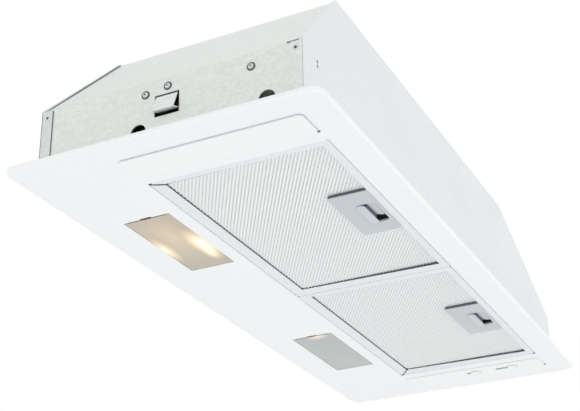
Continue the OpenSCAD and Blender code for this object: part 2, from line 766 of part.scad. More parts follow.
module blower_shell_near() color([0.25, 0.26, 0.28]) blower_half_shell(-1);
module blower_shell_far() color([0.25, 0.26, 0.28]) blower_half_shell(1);

module blower_screws() color(zinc) for (p = blower_screw_places) translate([p[0], p[1], body_h]) screw(6);

// A double-inlet fan wheel: a middle disc with a hub, blades both ways, and a ring at each end.
module impeller() color([0.3, 0.32, 0.35]) translate([blower_x, blower_y, blower_z]) rotate([0, 90, 0])
    difference() {
        union() {
            cylinder(r = impeller_r, h = 2, center = true);
            translate([0, 0, -1]) cylinder(r = hub_r, h = hub_l);
            for (i = [0:blade_count - 1]) rotate([0, 0, 360 * i / blade_count])
                translate([impeller_r - blade_depth + 0.5, -blade_t / 2, -impeller_half])
                    cube([blade_depth - 1, blade_t, 2 * impeller_half]);
            for (z = [-impeller_half - nudge, impeller_half - 2 + nudge]) translate([0, 0, z]) difference() {
                cylinder(r = impeller_r, h = 2);
                translate([0, 0, -1]) cylinder(r = impeller_r - blade_depth, h = 4);
            }
        }
        cylinder(r = shaft_r, h = 3 * hub_l, center = true);
    }

module motor_shaft() color("silver") translate([motor_end_x - motor_l + 4, blower_y, blower_z])
    rotate([0, 90, 0]) cylinder(r = shaft_r, h = motor_l + hub_l + 1);

module motor() color([0.55, 0.56, 0.58]) translate([motor_end_x, blower_y, blower_z]) rotate([0, -90, 0])
    difference() {
        union() {
            cylinder(r = motor_r, h = motor_l);
            translate([0, 0, -1.5]) cylinder(r = 8, h = 3);
            translate([0, 0, motor_l - nudge])
                cylinder(r = boss_r, h = motor_end_x - motor_l - bracket_x + nudge);
        }
        translate([0, 0, -3]) cylinder(r = shaft_r + 0.15, h = motor_l + 1);
        for (a = spider_angles) rotate([0, 0, 90 - a]) translate([boss_screw_r, 0, motor_l + 1])
            cylinder(r = screw_hole_r, h = 20, $fn = 24);
    }

// A three-armed spider over the near inlet that carries the motor.
module motor_bracket() color("silver") translate([bracket_x, blower_y, blower_z]) difference() {
    union() {
        rotate([0, -90, 0]) cylinder(r = bracket_disc_r, h = bracket_t);
        for (a = spider_angles) rotate([a, 0, 0]) translate([-bracket_t, 0, -arm_w / 2])
            cube([bracket_t, bracket_r, arm_w]);
    }
    for (a = spider_angles) rotate([a, 0, 0]) for (r = [boss_screw_r, bracket_screw_r]) translate([0, r, 0])
        rotate([0, 90, 0]) cylinder(r = screw_hole_r, h = 8, center = true, $fn = 24);
}

module motor_screws() color(zinc) translate([bracket_x - bracket_t, blower_y, blower_z])
    for (a = spider_angles) rotate([a, 0, 0]) for (r = [boss_screw_r, bracket_screw_r])
        translate([0, r, 0]) rotate([0, -90, 0]) screw(3);

// A capacitor lying under the top plate, in a saddle.
module capacitor() color([0.9, 0.9, 0.88]) translate([capacitor_x, capacitor_y, duct_top - capacitor_r - 1]) {
    rotate([0, 90, 0]) cylinder(r = capacitor_r, h = capacitor_l, center = true);
    box([-saddle_l / 2, -capacitor_r, 0], [saddle_l / 2, capacitor_r, capacitor_r + 1]);
}

// ---------------------------------------------------------------- outlet
module outlet_collar() color([0.2, 0.21, 0.22]) difference() {
    translate([blower_x, 0, collar_base_z]) {
        cylinder(r = collar_r, h = collar_h, $fn = 128);
        cylinder(r = collar_flange_r, h = collar_flange_t, $fn = 128);
    }
    translate([blower_x, 0, collar_base_z - 1])
        cylinder(r = collar_r - collar_t, h = collar_h + 2, $fn = 128);
    for (p = collar_screw_places) translate([p[0], p[1], collar_base_z - 1])
        cylinder(r = screw_hole_r, h = 2 * collar_flange_t, $fn = 24);
    translate([blower_x, 0, pin_z]) rotate([90, 0, 0])
        cylinder(r = pin_r, h = 2 * collar_r + 10, center = true, $fn = 24);
}

module collar_screws() color(zinc) for (p = collar_screw_places)
    translate([p[0], p[1], collar_base_z + collar_flange_t]) screw(5);

module damper_pin() color("silver") translate([blower_x, 0, pin_z]) rotate([90, 0, 0])
    cylinder(r = pin_r, h = 2 * collar_r - 0.6, center = true, $fn = 24);

// A half disc that lies on one side of the pin, hung from two knuckles; dir is its side along X.
module damper_flap(dir) translate([blower_x, 0, pin_z]) difference() {
    union() {
        intersection() {
            translate([0, 0, -flap_t / 2]) cylinder(r = flap_r, h = flap_t, $fn = 96);
            box([dir > 0 ? knuckle_r + 0.6 : -flap_r - 1, -flap_r - 1, -5],
                [dir > 0 ? flap_r + 1 : -knuckle_r - 0.6, flap_r + 1, 5]);
        }
        for (y = flap_knuckles(dir)) translate([0, y, 0]) {
            rotate([90, 0, 0]) cylinder(r = knuckle_r, h = knuckle_l, center = true, $fn = 32);
            box([dir > 0 ? 0 : -knuckle_r - 2, -knuckle_l / 2, -flap_t / 2],
                [dir > 0 ? knuckle_r + 2 : 0, knuckle_l / 2, flap_t / 2]);
        }
    }
    rotate([90, 0, 0]) cylinder(r = knuckle_bore_r, h = 2 * flap_r + 10, center = true, $fn = 24);
}
module damper_flap_near() color([0.3, 0.31, 0.33]) damper_flap(-1);
module damper_flap_far() color([0.3, 0.31, 0.33]) damper_flap(1);

// ---------------------------------------------------------------- electrics
module terminal_box() color([0.15, 0.15, 0.16]) difference() {
    z0 = duct_top - box_h;
    box([box_x - box_l / 2, -box_w / 2, z0], [box_x + box_l / 2, box_w / 2, duct_top]);
    box([box_x - box_l / 2 + box_t, -box_w / 2 + box_t, z0 - 1],
        [box_x + box_l / 2 - box_t, box_w / 2 - box_t, duct_top - box_t]);
    translate([gland_x, 0, duct_top - 3]) cylinder(r = gland_thread_r + 0.2, h = 5);
}

module terminal_box_lid() color([0.15, 0.15, 0.16]) {
    z0 = duct_top - box_h;
    box([box_x - box_l / 2, -box_w / 2, z0 - lid_t], [box_x + box_l / 2, box_w / 2, z0]);
    difference() {
        inset = box_t + 0.2;
        box([box_x - box_l / 2 + inset, -box_w / 2 + inset, z0 - nudge],
            [box_x + box_l / 2 - inset, box_w / 2 - inset, z0 + lid_rim_h]);
        box([box_x - box_l / 2 + 2 * inset, -box_w / 2 + 2 * inset, z0],
            [box_x + box_l / 2 - 2 * inset, box_w / 2 - 2 * inset, z0 + lid_rim_h + 1]);
    }
}

// A hex-shouldered gland through the top plate, with a clamping dome and a cable bore.
module cable_gland() color([0.15, 0.15, 0.16]) translate([gland_x, 0, 0]) difference() {
    union() {
        translate([0, 0, duct_top - 6]) cylinder(r = gland_thread_r, h = 8);
        translate([0, 0, body_h]) cylinder(r = gland_hex_r, h = gland_hex_h, $fn = 6);
        translate([0, 0, body_h + gland_hex_h - nudge]) cylinder(r = gland_r, h = gland_dome_h);
    }
    translate([0, 0, duct_top - 7]) cylinder(r = gland_bore_r, h = 30);
}

face_panel();
blank_strip();
control_strip();
housing_shell();
front_side_plate();
rear_side_plate();
side_plate_screws();
panel_screws();
clip_plate_near();
clip_plate_far();
clip_tongue_near();
clip_tongue_far();
end_wall_screws();
filter_frame(-1);  // filter_frame_near
filter_frame(1);  // filter_frame_far
filter_mesh(-1);  // filter_mesh_near
filter_mesh(1);  // filter_mesh_far
filter_core(-1);  // filter_core_near
filter_core(1);  // filter_core_far
filter_back(-1);  // filter_back_near
filter_back(1);  // filter_back_far
latch_plate(-1);  // latch_plate_near
latch_plate(1);  // latch_plate_far
latch_slide(-1);  // latch_slide_near
latch_slide(1);  // latch_slide_far
latch_spring(-1);  // latch_spring_near
latch_spring(1);  // latch_spring_far
lamp_housing(-1);  // lamp_housing_near
lamp_housing(1);  // lamp_housing_far
lamp_reflector(-1);  // lamp_reflector_near
lamp_reflector(1);  // lamp_reflector_far
lamp_holder(-1);  // lamp_holder_near
lamp_holder(1);  // lamp_holder_far
lamp_bulb(-1);  // lamp_bulb_near
lamp_bulb(1);  // lamp_bulb_far
lamp_lens(-1);  // lamp_lens_near
lamp_lens(1);  // lamp_lens_far
light_switch();
speed_switch();
light_slider();
speed_slider();
lamp_transformer();
blower_shell_near();
blower_shell_far();
blower_screws();
impeller();
motor_shaft();
motor();
motor_bracket();
motor_screws();
capacitor();
outlet_collar();
collar_screws();
damper_pin();
damper_flap_near();
damper_flap_far();
terminal_box();
terminal_box_lid();
cable_gland();
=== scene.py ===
"""Built-in range hood insert, seen from below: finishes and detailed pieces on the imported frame."""
import math

import bmesh
import bpy
import numpy as np
from mathutils import Matrix, Vector, noise


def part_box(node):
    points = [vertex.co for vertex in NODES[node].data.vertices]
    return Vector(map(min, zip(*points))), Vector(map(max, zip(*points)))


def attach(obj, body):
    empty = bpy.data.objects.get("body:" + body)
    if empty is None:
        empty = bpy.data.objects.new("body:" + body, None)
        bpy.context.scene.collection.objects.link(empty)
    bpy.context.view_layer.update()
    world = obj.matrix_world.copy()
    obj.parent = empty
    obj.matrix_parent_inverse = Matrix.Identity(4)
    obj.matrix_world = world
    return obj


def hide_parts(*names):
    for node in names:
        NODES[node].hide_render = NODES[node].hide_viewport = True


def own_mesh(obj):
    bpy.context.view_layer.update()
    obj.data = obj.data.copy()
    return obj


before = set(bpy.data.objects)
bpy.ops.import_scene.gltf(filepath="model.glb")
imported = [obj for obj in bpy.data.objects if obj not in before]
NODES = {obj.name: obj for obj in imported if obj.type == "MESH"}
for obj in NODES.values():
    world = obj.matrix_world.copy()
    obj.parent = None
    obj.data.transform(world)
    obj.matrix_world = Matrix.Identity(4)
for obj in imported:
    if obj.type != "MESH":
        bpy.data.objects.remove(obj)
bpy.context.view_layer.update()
MM = 0.001
SIDES = (("near", -1), ("far", 1))

# The camera fitted to the photograph: its place in metres, and its axes.
CAMERA_PLACE = (-1.0260, -0.4449, -0.4638)
CAMERA_RIGHT = (0.4441, -0.8959, -0.0150)
CAMERA_UP = (-0.3901, -0.2084, 0.8969)
CAMERA_AHEAD = (0.8066, 0.3925, 0.4420)
CAMERA_LENS, CAMERA_SENSOR = 77.2, 36
# How strongly the surroundings light the object from straight below and straight above.
LIGHT_BELOW, LIGHT_ABOVE = 1.44, 0.72
FLOOR_Z = -3.2

# Sizes that part.scad also uses, in millimetres.
SCREW_HEAD_R, SCREW_HEAD_H = 3.4, 1.8
COLLAR_R = 60
CLIP_WALL_X = 326.5


# ---------------------------------------------------------------- camera, light and stage
def make_camera():
    data = bpy.data.cameras.new("camera")
    data.sensor_width = CAMERA_SENSOR
    data.lens = CAMERA_LENS
    cam = bpy.data.objects.new("camera", data)
    bpy.context.scene.collection.objects.link(cam)
    turn = Matrix((Vector(CAMERA_RIGHT), Vector(CAMERA_UP), -Vector(CAMERA_AHEAD))).transposed().to_4x4()
    cam.matrix_world = Matrix.Translation(CAMERA_PLACE) @ turn
    data.clip_end = 60
    bpy.context.scene.camera = cam


def make_world():
    """Light from all round, with plain white where the camera sees past the object."""
    world = bpy.data.worlds.new("tent")
    world.use_nodes = True
    tree = world.node_tree
    back = tree.nodes["Background"]
    seen = tree.nodes.new("ShaderNodeBackground")
    mix = tree.nodes.new("ShaderNodeMixShader")
    path = tree.nodes.new("ShaderNodeLightPath")
    # The surroundings are brightest below, like a hood over a white table.
    coord = tree.nodes.new("ShaderNodeTexCoord")
    split = tree.nodes.new("ShaderNodeSeparateXYZ")
    level = tree.nodes.new("ShaderNodeMapRange")
    level.inputs["From Min"].default_value = -1
    level.inputs["To Min"].default_value = LIGHT_BELOW
    level.inputs["To Max"].default_value = LIGHT_ABOVE
    tree.links.new(coord.outputs["Generated"], split.inputs[0])
    tree.links.new(split.outputs["Z"], level.inputs["Value"])
    tree.links.new(level.outputs[0], back.inputs["Strength"])
    back.inputs["Color"].default_value = (0.985, 0.993, 0.995, 1)
    seen.inputs["Color"].default_value = (1, 1, 1, 1)
    tree.links.new(path.outputs["Is Camera Ray"], mix.inputs[0])
    tree.links.new(back.outputs[0], mix.inputs[1])
    tree.links.new(seen.outputs[0], mix.inputs[2])
    tree.links.new(mix.outputs[0], tree.nodes["World Output"].inputs["Surface"])
    bpy.context.scene.world = world


def area_light(name, place, target, size, watts, colour=(1, 1, 1)):
    data = bpy.data.lights.new(name, "AREA")
    data.shape = "DISK"
    data.size = size
    data.energy = watts
    data.color = colour
    light = bpy.data.objects.new(name, data)
    light.location = place
    light.rotation_mode = "QUATERNION"
    light.rotation_quaternion = (Vector(target) - Vector(place)).to_track_quat("-Z", "Y")
    light.visible_camera = False
    bpy.context.scene.collection.objects.link(light)


make_camera()
make_world()
bpy.context.scene.view_settings.view_transform = "Standard"
area_light("under_light", (-0.3, -0.2, -2.0), (0, 0, 0), 2.4, 9.0)
area_light("front_light", (0.6, -2.4, 0.2), (0, 0, 0.03), 1.6, 3.5, (0.96, 0.98, 1.0))
area_light("top_light", (0.4, 0.6, 2.4), (0, 0, 0.1), 1.8, 2.0)


# ---------------------------------------------------------------- material building
class Finish:
    """One node material on object coordinates, with short names for the nodes it is made of."""

    def __init__(self, name, metallic=0.0, **constants):
        self.mat = bpy.data.materials.new(name)
        self.mat.use_nodes = True
        self.tree = self.mat.node_tree
        self.bsdf = self.tree.nodes["Principled BSDF"]
        self.bsdf.inputs["Metallic"].default_value = metallic
        for key, value in constants.items():
            self.bsdf.inputs[key.replace("_", " ")].default_value = value
        coords = self.tree.nodes.new("ShaderNodeTexCoord")
        self.coord, self.facing = coords.outputs["Object"], coords.outputs["Normal"]
        self.normal = None

    def put(self, value, socket):
        if isinstance(value, bpy.types.NodeSocket):
            self.tree.links.new(value, socket)
        elif isinstance(value, (tuple, list)) and len(value) == 3 and socket.type == "RGBA":
            socket.default_value = (*value, 1)
        else:
            socket.default_value = value

    def at(self, scale=(1, 1, 1), location=(0, 0, 0), kind="POINT"):
        n = self.tree.nodes.new("ShaderNodeMapping")
        n.vector_type = kind
        n.inputs["Location"].default_value = location
        n.inputs["Scale"].default_value = scale
        self.tree.links.new(self.coord, n.inputs["Vector"])
        return n.outputs[0]

    def noise(self, scale, detail=2.0, stretch=(1, 1, 1), roughness=0.5):
        n = self.tree.nodes.new("ShaderNodeTexNoise")
        n.inputs["Scale"].default_value = scale
        n.inputs["Detail"].default_value = detail
        n.inputs["Roughness"].default_value = roughness
        self.tree.links.new(self.at(stretch), n.inputs["Vector"])
        return n.outputs["Fac"]

    def cells(self, scale, out):
        n = self.tree.nodes.new("ShaderNodeTexVoronoi")
        n.inputs["Scale"].default_value = scale
        self.tree.links.new(self.at(), n.inputs["Vector"])
        return n.outputs[out]

    def blob(self, centre, radii):
        n = self.tree.nodes.new("ShaderNodeTexGradient")
        n.gradient_type = "SPHERICAL"
        self.tree.links.new(self.at(radii, centre, "TEXTURE"), n.inputs["Vector"])
        return n.outputs["Fac"]

    def span(self, fac, low, high, start=0.0, end=1.0):
        n = self.tree.nodes.new("ShaderNodeMapRange")
        n.inputs["From Min"].default_value = start
        n.inputs["From Max"].default_value = end
        n.inputs["To Min"].default_value = low
        n.inputs["To Max"].default_value = high
        self.tree.links.new(fac, n.inputs["Value"])
        return n.outputs[0]

    def maths(self, kind, a, b):
        n = self.tree.nodes.new("ShaderNodeMath")
        n.operation = kind
        self.put(a, n.inputs[0])
        self.put(b, n.inputs[1])
        return n.outputs[0]

    def mix(self, fac, a, b):
        n = self.tree.nodes.new("ShaderNodeMix")
        n.data_type = "RGBA"
        self.put(fac, n.inputs["Factor"])
        self.put(a, n.inputs[6])
        self.put(b, n.inputs[7])
        return n.outputs[2]

    def bump(self, height, strength, distance):
        n = self.tree.nodes.new("ShaderNodeBump")
        n.inputs["Strength"].default_value = strength
        n.inputs["Distance"].default_value = distance
        self.tree.links.new(height, n.inputs["Height"])
        if self.normal is not None:
            self.tree.links.new(self.normal, n.inputs["Normal"])
        self.normal = n.outputs[0]
        self.tree.links.new(self.normal, self.bsdf.inputs["Normal"])

    def set(self, **sockets):
        for key, value in sockets.items():
            self.put(value, self.bsdf.inputs[key.replace("_", " ")])
        return self


def painted(name, light, dark, rough, gloss=0.0):
    """Smooth painted or enamelled sheet with a fine orange peel."""
    f = Finish(name, Coat_Weight=gloss, Coat_Roughness=0.15)
    f.set(Base_Color=f.mix(f.noise(9, 3), dark, light), Roughness=f.span(f.noise(26, 2), rough - 0.05, rough + 0.07))
    f.bump(f.noise(700, 1), 0.10, 0.00012)
    return f.mat


def moulded(name, light, dark, rough=0.5, grain=1800):
    """Moulded plastic with a fine grain and faint flow marks."""
    f = Finish(name)
    f.set(Base_Color=f.mix(f.noise(30, 4), dark, light), Roughness=f.span(f.noise(60, 2), rough - 0.06, rough + 0.08))
    f.bump(f.noise(grain, 2), 0.25, 0.00010)
    f.bump(f.noise(22, 2), 0.12, 0.0006)
    return f.mat


def spangled(name, light, dark, metallic=0.3, cell=430, front=None):
    """Galvanised sheet: zinc crystals of slightly different greys, drawing marks and handling smudges.
    front is a second pair of colours for the faces that look along Y: painted shading, so that faces of one sheet
    differ in tone by the way they look."""
    f = Finish(name, metallic)
    if front:
        # Faces that look along Y take the second pair of colours: painted shading by direction.
        split = f.tree.nodes.new("ShaderNodeSeparateXYZ")
        f.tree.links.new(f.facing, split.inputs[0])
        facing = f.maths("GREATER_THAN", f.maths("ABSOLUTE", split.outputs["Y"], 0.0), 0.6)
        light, dark = f.mix(facing, light, front[0]), f.mix(facing, dark, front[1])
    crystal = f.span(f.cells(cell, "Color"), 0.0, 1.0)
    fine = f.noise(520, 3, roughness=0.65)
    shade = f.maths("ADD", f.maths("MULTIPLY", crystal, 0.42), f.maths("MULTIPLY", fine, 0.58))
    base = f.mix(f.span(shade, 0, 1, 0.2, 0.8), dark, light)
    smudge = f.span(f.noise(11, 4), 0.0, 0.30, 0.5, 0.78)
    smudge_colour = tuple(0.78 * t for t in (0.93, 0.97, 0.94))
    f.set(Base_Color=f.mix(smudge, base, smudge_colour),
          Roughness=f.span(shade, 0.34, 0.52, 0.2, 0.8))
    f.bump(fine, 0.16, 0.0002)
    f.bump(f.noise(5, 1), 0.10, 0.004)
    return f.mat


def brushed(name, light, dark, metallic=0.7, rough=0.34, along=(0.06, 1, 1), lines=1500):
    """Rolled or brushed metal: fine lines along one axis."""
    f = Finish(name, metallic)
    line = f.noise(lines, 2, along)
    f.set(Base_Color=f.mix(f.span(line, 0, 1, 0.25, 0.75), dark, light),
          Roughness=f.span(f.noise(35, 3), rough - 0.06, rough + 0.1))
    f.bump(line, 0.12, 0.00015)
    f.bump(f.noise(14, 2), 0.10, 0.001)
    return f.mat


def cast(name, light, dark, metallic, rough):
    """Small plated parts: a soft mottle."""
    f = Finish(name, metallic)
    f.set(Base_Color=f.mix(f.noise(380, 4), dark, light), Roughness=f.span(f.noise(160, 2), rough - 0.08, rough + 0.1))
    f.bump(f.noise(900, 2), 0.15, 0.0001)
    return f.mat


def lens_glass(name, box, lit):
    """Frosted cover glass with a pressed stipple; the lit one glows where the bulb and reflector sit behind it, and
    the unlit one has a painted reflection, a warm glow at its near end.
    """
    lo, hi = box
    centre, half = (lo + hi) / 2, (hi - lo) / 2
    f = Finish(name, IOR=1.5)
    cloudy = f.noise(42, 3)
    if lit:
        f.set(Base_Color=f.mix(cloudy, (0.50, 0.455, 0.37), (0.56, 0.515, 0.43)))
        z = centre.z
        # The glow as (place along X, place along Y, reach along X, reach along Y, strength), in half sizes.
        spots = ((0.18, -0.78, 0.66, 0.62, 1.35), (0.12, 0.92, 0.60, 0.46, 0.95),
                 (-0.25, 0.0, 1.35, 1.6, 0.30), (0.55, -0.62, 0.32, 0.36, 0.55))
        total = None
        for px, py, rx, ry, strength in spots:
            spot = f.blob((centre.x + px * half.x, centre.y + py * half.y, z), (rx * half.x, ry * half.y, 0.02))
            spot = f.maths("MULTIPLY", f.maths("POWER", spot, 1.5), strength)
            total = spot if total is None else f.maths("ADD", total, spot)
        warm = f.mix(f.span(total, 0, 1, 0.15, 1.1), (1.0, 0.60, 0.26), (1.0, 0.90, 0.62))
        f.set(Emission_Color=warm, Emission_Strength=f.maths("MULTIPLY", total, 0.85))
    else:
        f.set(Base_Color=f.mix(cloudy, (0.50, 0.51, 0.495), (0.55, 0.56, 0.545)))
        # A painted reflection: a warm glow at the unlit lens's near end, where the reflector's bright spot shows.
        spot = f.blob((lo.x + 0.003, centre.y - 0.2 * half.y, centre.z), (0.010, 0.6 * half.y, 0.02))
        f.set(Emission_Color=(1.0, 0.72, 0.36), Emission_Strength=f.maths("MULTIPLY", spot, 0.5))
    f.set(Roughness=f.span(f.cells(420, "Distance"), 0.36, 0.5))
    f.bump(f.cells(420, "Distance"), 0.15, 0.0002)
    return f.mat


def glowing(name, colour, strength):
    """Bulb glass that glows a little unevenly."""
    f = Finish(name, IOR=1.5)
    f.set(Base_Color=f.mix(f.noise(90, 2), (0.80, 0.78, 0.70), (0.9, 0.89, 0.85)), Roughness=0.2,
          Emission_Color=colour, Emission_Strength=f.span(f.noise(140, 2), strength * 0.8, strength * 1.2))
    return f.mat


WALL = ((0.89, 0.91, 0.88), (0.74, 0.765, 0.735))
MAT = {
    "enamel": painted("enamel", (0.955, 0.96, 0.965), (0.935, 0.94, 0.948), 0.33, 0.25),
    "strip": painted("strip", (0.955, 0.96, 0.962), (0.94, 0.945, 0.95), 0.45),
    "galv": spangled("galvanised_wall", WALL[0], WALL[1]),
    "galv_rear": spangled("galvanised_rear", (0.80, 0.84, 0.81), (0.65, 0.69, 0.66)),
    # The front plate's faces that look along Y get their own colours: painted shading by direction.
    "galv_plate": spangled("galvanised_plate_shaded_by_facing", WALL[0], WALL[1], front=((0.875, 0.90, 0.905), (0.81, 0.84, 0.85))),
    "galv_part": spangled("galvanised_part", (0.80, 0.82, 0.81), (0.66, 0.68, 0.67), 0.4, 260),
    "frame": brushed("filter_aluminium", (0.90, 0.915, 0.925), (0.84, 0.855, 0.865), 0.25, 0.40),
    "mesh": brushed("mesh_aluminium", (0.93, 0.94, 0.94), (0.86, 0.875, 0.875), 0.2, 0.40, (1, 0.3, 1), 900),
    "pad": cast("filter_pad", (0.78, 0.79, 0.79), (0.52, 0.525, 0.53), 0.25, 0.55),
    "latch": moulded("latch_plastic", (0.60, 0.63, 0.655), (0.57, 0.595, 0.62), 0.42),
    "pull": moulded("pull_plastic", (0.64, 0.67, 0.695), (0.61, 0.64, 0.665), 0.40),
    # Near-black for the latch's inner walls and gaps: painted shade.
    "latch_shade": moulded("latch_painted_shade", (0.13, 0.135, 0.16), (0.09, 0.095, 0.115), 0.5),
    "black": moulded("black_plastic", (0.05, 0.052, 0.056), (0.033, 0.034, 0.038), 0.5, 1200),
    "grey": moulded("grey_plastic", (0.16, 0.165, 0.175), (0.12, 0.124, 0.132), 0.48, 1200),
    "fan": moulded("fan_plastic", (0.10, 0.106, 0.115), (0.07, 0.074, 0.082), 0.42, 1500),
    "ceramic": painted("ceramic", (0.83, 0.80, 0.73), (0.74, 0.71, 0.64), 0.42),
    "cap_case": painted("capacitor_case", (0.82, 0.82, 0.79), (0.74, 0.74, 0.71), 0.38),
    "potting": moulded("transformer_case", (0.72, 0.72, 0.68), (0.62, 0.62, 0.58), 0.5),
    "motor": brushed("motor_case", (0.56, 0.57, 0.58), (0.40, 0.41, 0.42), 0.85, 0.36, (1, 0.08, 0.08), 1100),
    "spring": brushed("clip_steel", (0.90, 0.92, 0.90), (0.80, 0.825, 0.80), 0.1, 0.5, (1, 0.08, 1), 1300),
    "steel": brushed("spring_steel", (0.80, 0.82, 0.82), (0.62, 0.64, 0.64), 0.75, 0.28, (1, 0.08, 1), 1300),
    "zinc": cast("zinc_screw", (0.74, 0.75, 0.74), (0.44, 0.45, 0.45), 0.75, 0.33),
    # Near-black for screw recesses and open gaps: painted shade.
    "recess_shade": cast("painted_recess_shade", (0.14, 0.14, 0.14), (0.07, 0.07, 0.07), 0.4, 0.5),
    "bright": brushed("reflector", (0.95, 0.95, 0.94), (0.86, 0.86, 0.85), 0.9, 0.16, (0.06, 1, 1), 900),
    # Mid grey for the blank strip's painted edge shadow.
    "edge_shadow_grey": moulded("strip_edge_shadow", (0.70, 0.70, 0.715), (0.64, 0.64, 0.655), 0.6),
    # Near-black for shadow lines, gaps and small holes: painted shade.
    "painted_shade": moulded("near_black_painted_shade", (0.10, 0.105, 0.11), (0.06, 0.065, 0.07), 0.55),
    "lens_near": lens_glass("lens_lit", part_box("lamp_lens_near"), True),
    "lens_far": lens_glass("lens_plain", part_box("lamp_lens_far"), False),
    "bulb_near": glowing("bulb_lit", (1.0, 0.78, 0.45), 2.2),
    "bulb_far": glowing("bulb_plain", (1.0, 0.85, 0.6), 0.25),
    "ivory": painted("holder_cap", (0.80, 0.78, 0.72), (0.70, 0.68, 0.62), 0.5),
}


# ---------------------------------------------------------------- mesh building
def merged(into, other, mat=0, matrix=None):
    """Adds a bmesh to another as material mat, and frees it."""
    if matrix is not None:
        other.transform(matrix)
    for f in other.faces:
        f.material_index = mat
    me = bpy.data.meshes.new("part")
    other.to_mesh(me)
    other.free()
    into.from_mesh(me)
    bpy.data.meshes.remove(me)


def piece(name, bm, body, mats, stands_for=(), angle=38):
    """A finished bmesh as a piece that rides on a body, smooth except at edges sharper than angle."""
    bmesh.ops.recalc_face_normals(bm, faces=bm.faces)
    me = bpy.data.meshes.new(name)
    bm.to_mesh(me)
    bm.free()
    for m in mats:
        me.materials.append(MAT[m])
    me.polygons.foreach_set("use_smooth", [True] * len(me.polygons))
    me.set_sharp_from_angle(angle=math.radians(angle))
    ob = bpy.data.objects.new(name, me)
    bpy.context.scene.collection.objects.link(ob)
    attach(ob, body)
    if stands_for:
        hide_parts(*stands_for)
    return ob


def block(lo, hi, bevel=0.0004, segments=2):
    """A box with rounded edges; lo and hi in metres."""
    lo, hi = Vector(lo), Vector(hi)
    bm = bmesh.new()
    bmesh.ops.create_cube(bm, size=1)
    size = hi - lo
    bmesh.ops.scale(bm, vec=size, verts=bm.verts)
    bmesh.ops.translate(bm, vec=(lo + hi) / 2, verts=bm.verts)
    width = min(bevel, min(size) * 0.45)
    if width > 0:
        bmesh.ops.bevel(bm, geom=bm.edges[:], offset=width, segments=segments, affect="EDGES", profile=0.5)
    return bm


def prism(outline, z0, z1, bevel=0.0003, segments=2):
    """An outline in XY, extruded from z0 to z1, with both rims rounded."""
    bm = bmesh.new()
    bottom = [bm.verts.new((x, y, z0)) for x, y in outline]
    face = bm.faces.new(bottom)
    made = bmesh.ops.extrude_face_region(bm, geom=[face])
    top = [v for v in made["geom"] if isinstance(v, bmesh.types.BMVert)]
    bmesh.ops.translate(bm, vec=(0, 0, z1 - z0), verts=top)
    if bevel > 0:
        rims = [e for e in bm.edges if abs(e.verts[0].co.z - e.verts[1].co.z) < 1e-9]
        bmesh.ops.bevel(bm, geom=rims, offset=bevel, segments=segments, affect="EDGES", profile=0.5,
                        clamp_overlap=True)
    return bm


def rounded(x0, x1, y0, y1, r, steps=6):
    """A rectangle's outline with arcs at its corners, in the units given."""
    pts = []
    for cx, cy, start in ((x1 - r, y1 - r, 0), (x0 + r, y1 - r, 90), (x0 + r, y0 + r, 180), (x1 - r, y0 + r, 270)):
        for i in range(steps + 1):
            a = math.radians(start + 90 * i / steps)
            pts.append((cx + r * math.cos(a), cy + r * math.sin(a)))
    return pts


def lathe(profile, segments=32, wobble=None):
    """A closed profile of (radius, z) turned about Z; wobble(angle, radius, z) may change the radius."""
    bm = bmesh.new()
    rings = []
    for r, z in profile:
        if r < 1e-7:
            rings.append([bm.verts.new((0, 0, z))])
            continue
        ring = []
        for i in range(segments):
            a = 2 * math.pi * i / segments
            rr = wobble(a, r, z) if wobble else r
            ring.append(bm.verts.new((rr * math.cos(a), rr * math.sin(a), z)))
        rings.append(ring)
    for a, b in zip(rings, rings[1:] + rings[:1]):
        for i in range(segments):
            j = (i + 1) % segments
            quad = [a[i % len(a)], a[j % len(a)], b[j % len(b)], b[i % len(b)]]
            corners = list(dict.fromkeys(quad))
            if len(corners) > 2:
                bm.faces.new(corners)
    return bm


def tube(points, radius, sides=8):
    """A round wire along points, capped at both ends."""
    bm = bmesh.new()
    pts = [Vector(p) for p in points]
    rings = []
    side = None
    for i, p in enumerate(pts):
        ahead = (pts[min(i + 1, len(pts) - 1)] - pts[max(i - 1, 0)]).normalized()
        if side is None:
            side = ahead.orthogonal().normalized()
        side = (side - ahead * side.dot(ahead)).normalized()
        other = ahead.cross(side)
        rings.append([bm.verts.new(p + radius * (math.cos(a) * side + math.sin(a) * other))
                      for a in (2 * math.pi * k / sides for k in range(sides))])
    for a, b in zip(rings, rings[1:]):
        for k in range(sides):
            n = (k + 1) % sides
            bm.faces.new((a[k], a[n], b[n], b[k]))
    bm.faces.new(rings[0])
    bm.faces.new(rings[-1])
    return bm


def swept(profile, y0, y1):
    """A closed outline in XZ carried from y0 to y1."""
    bm = prism(profile, 0, y1 - y0, 0.00015, 1)
    bm.transform(Matrix(((1, 0, 0, 0), (0, 0, 1, y0), (0, 1, 0, 0), (0, 0, 0, 1))))
    return bm


def strip_outline(path, thickness):
    """The outline of a sheet of this thickness along an open path of 2D points."""
    left, right = [], []
    for i, p in enumerate(path):
        a = Vector(path[max(i - 1, 0)])
        b = Vector(path[min(i + 1, len(path) - 1)])
        d = (b - a).normalized()
        n = Vector((-d.y, d.x)) * thickness / 2
        left.append(tuple(Vector(p) + n))
        right.append(tuple(Vector(p) - n))
    return left + right[::-1]


def filleted(path, radius, steps=5):
    """A path whose inner corners are rounded."""
    out = [path[0]]
    for a, b, c in zip(path, path[1:], path[2:]):
        a, b, c = Vector(a), Vector(b), Vector(c)
        reach = min(radius, (a - b).length * 0.45, (c - b).length * 0.45)
        start, end = b + (a - b).normalized() * reach, b + (c - b).normalized() * reach
        for i in range(steps + 1):
            t = i / steps
            out.append(tuple((1 - t) ** 2 * start + 2 * t * (1 - t) * b + t ** 2 * end))
    out.append(path[-1])
    return out


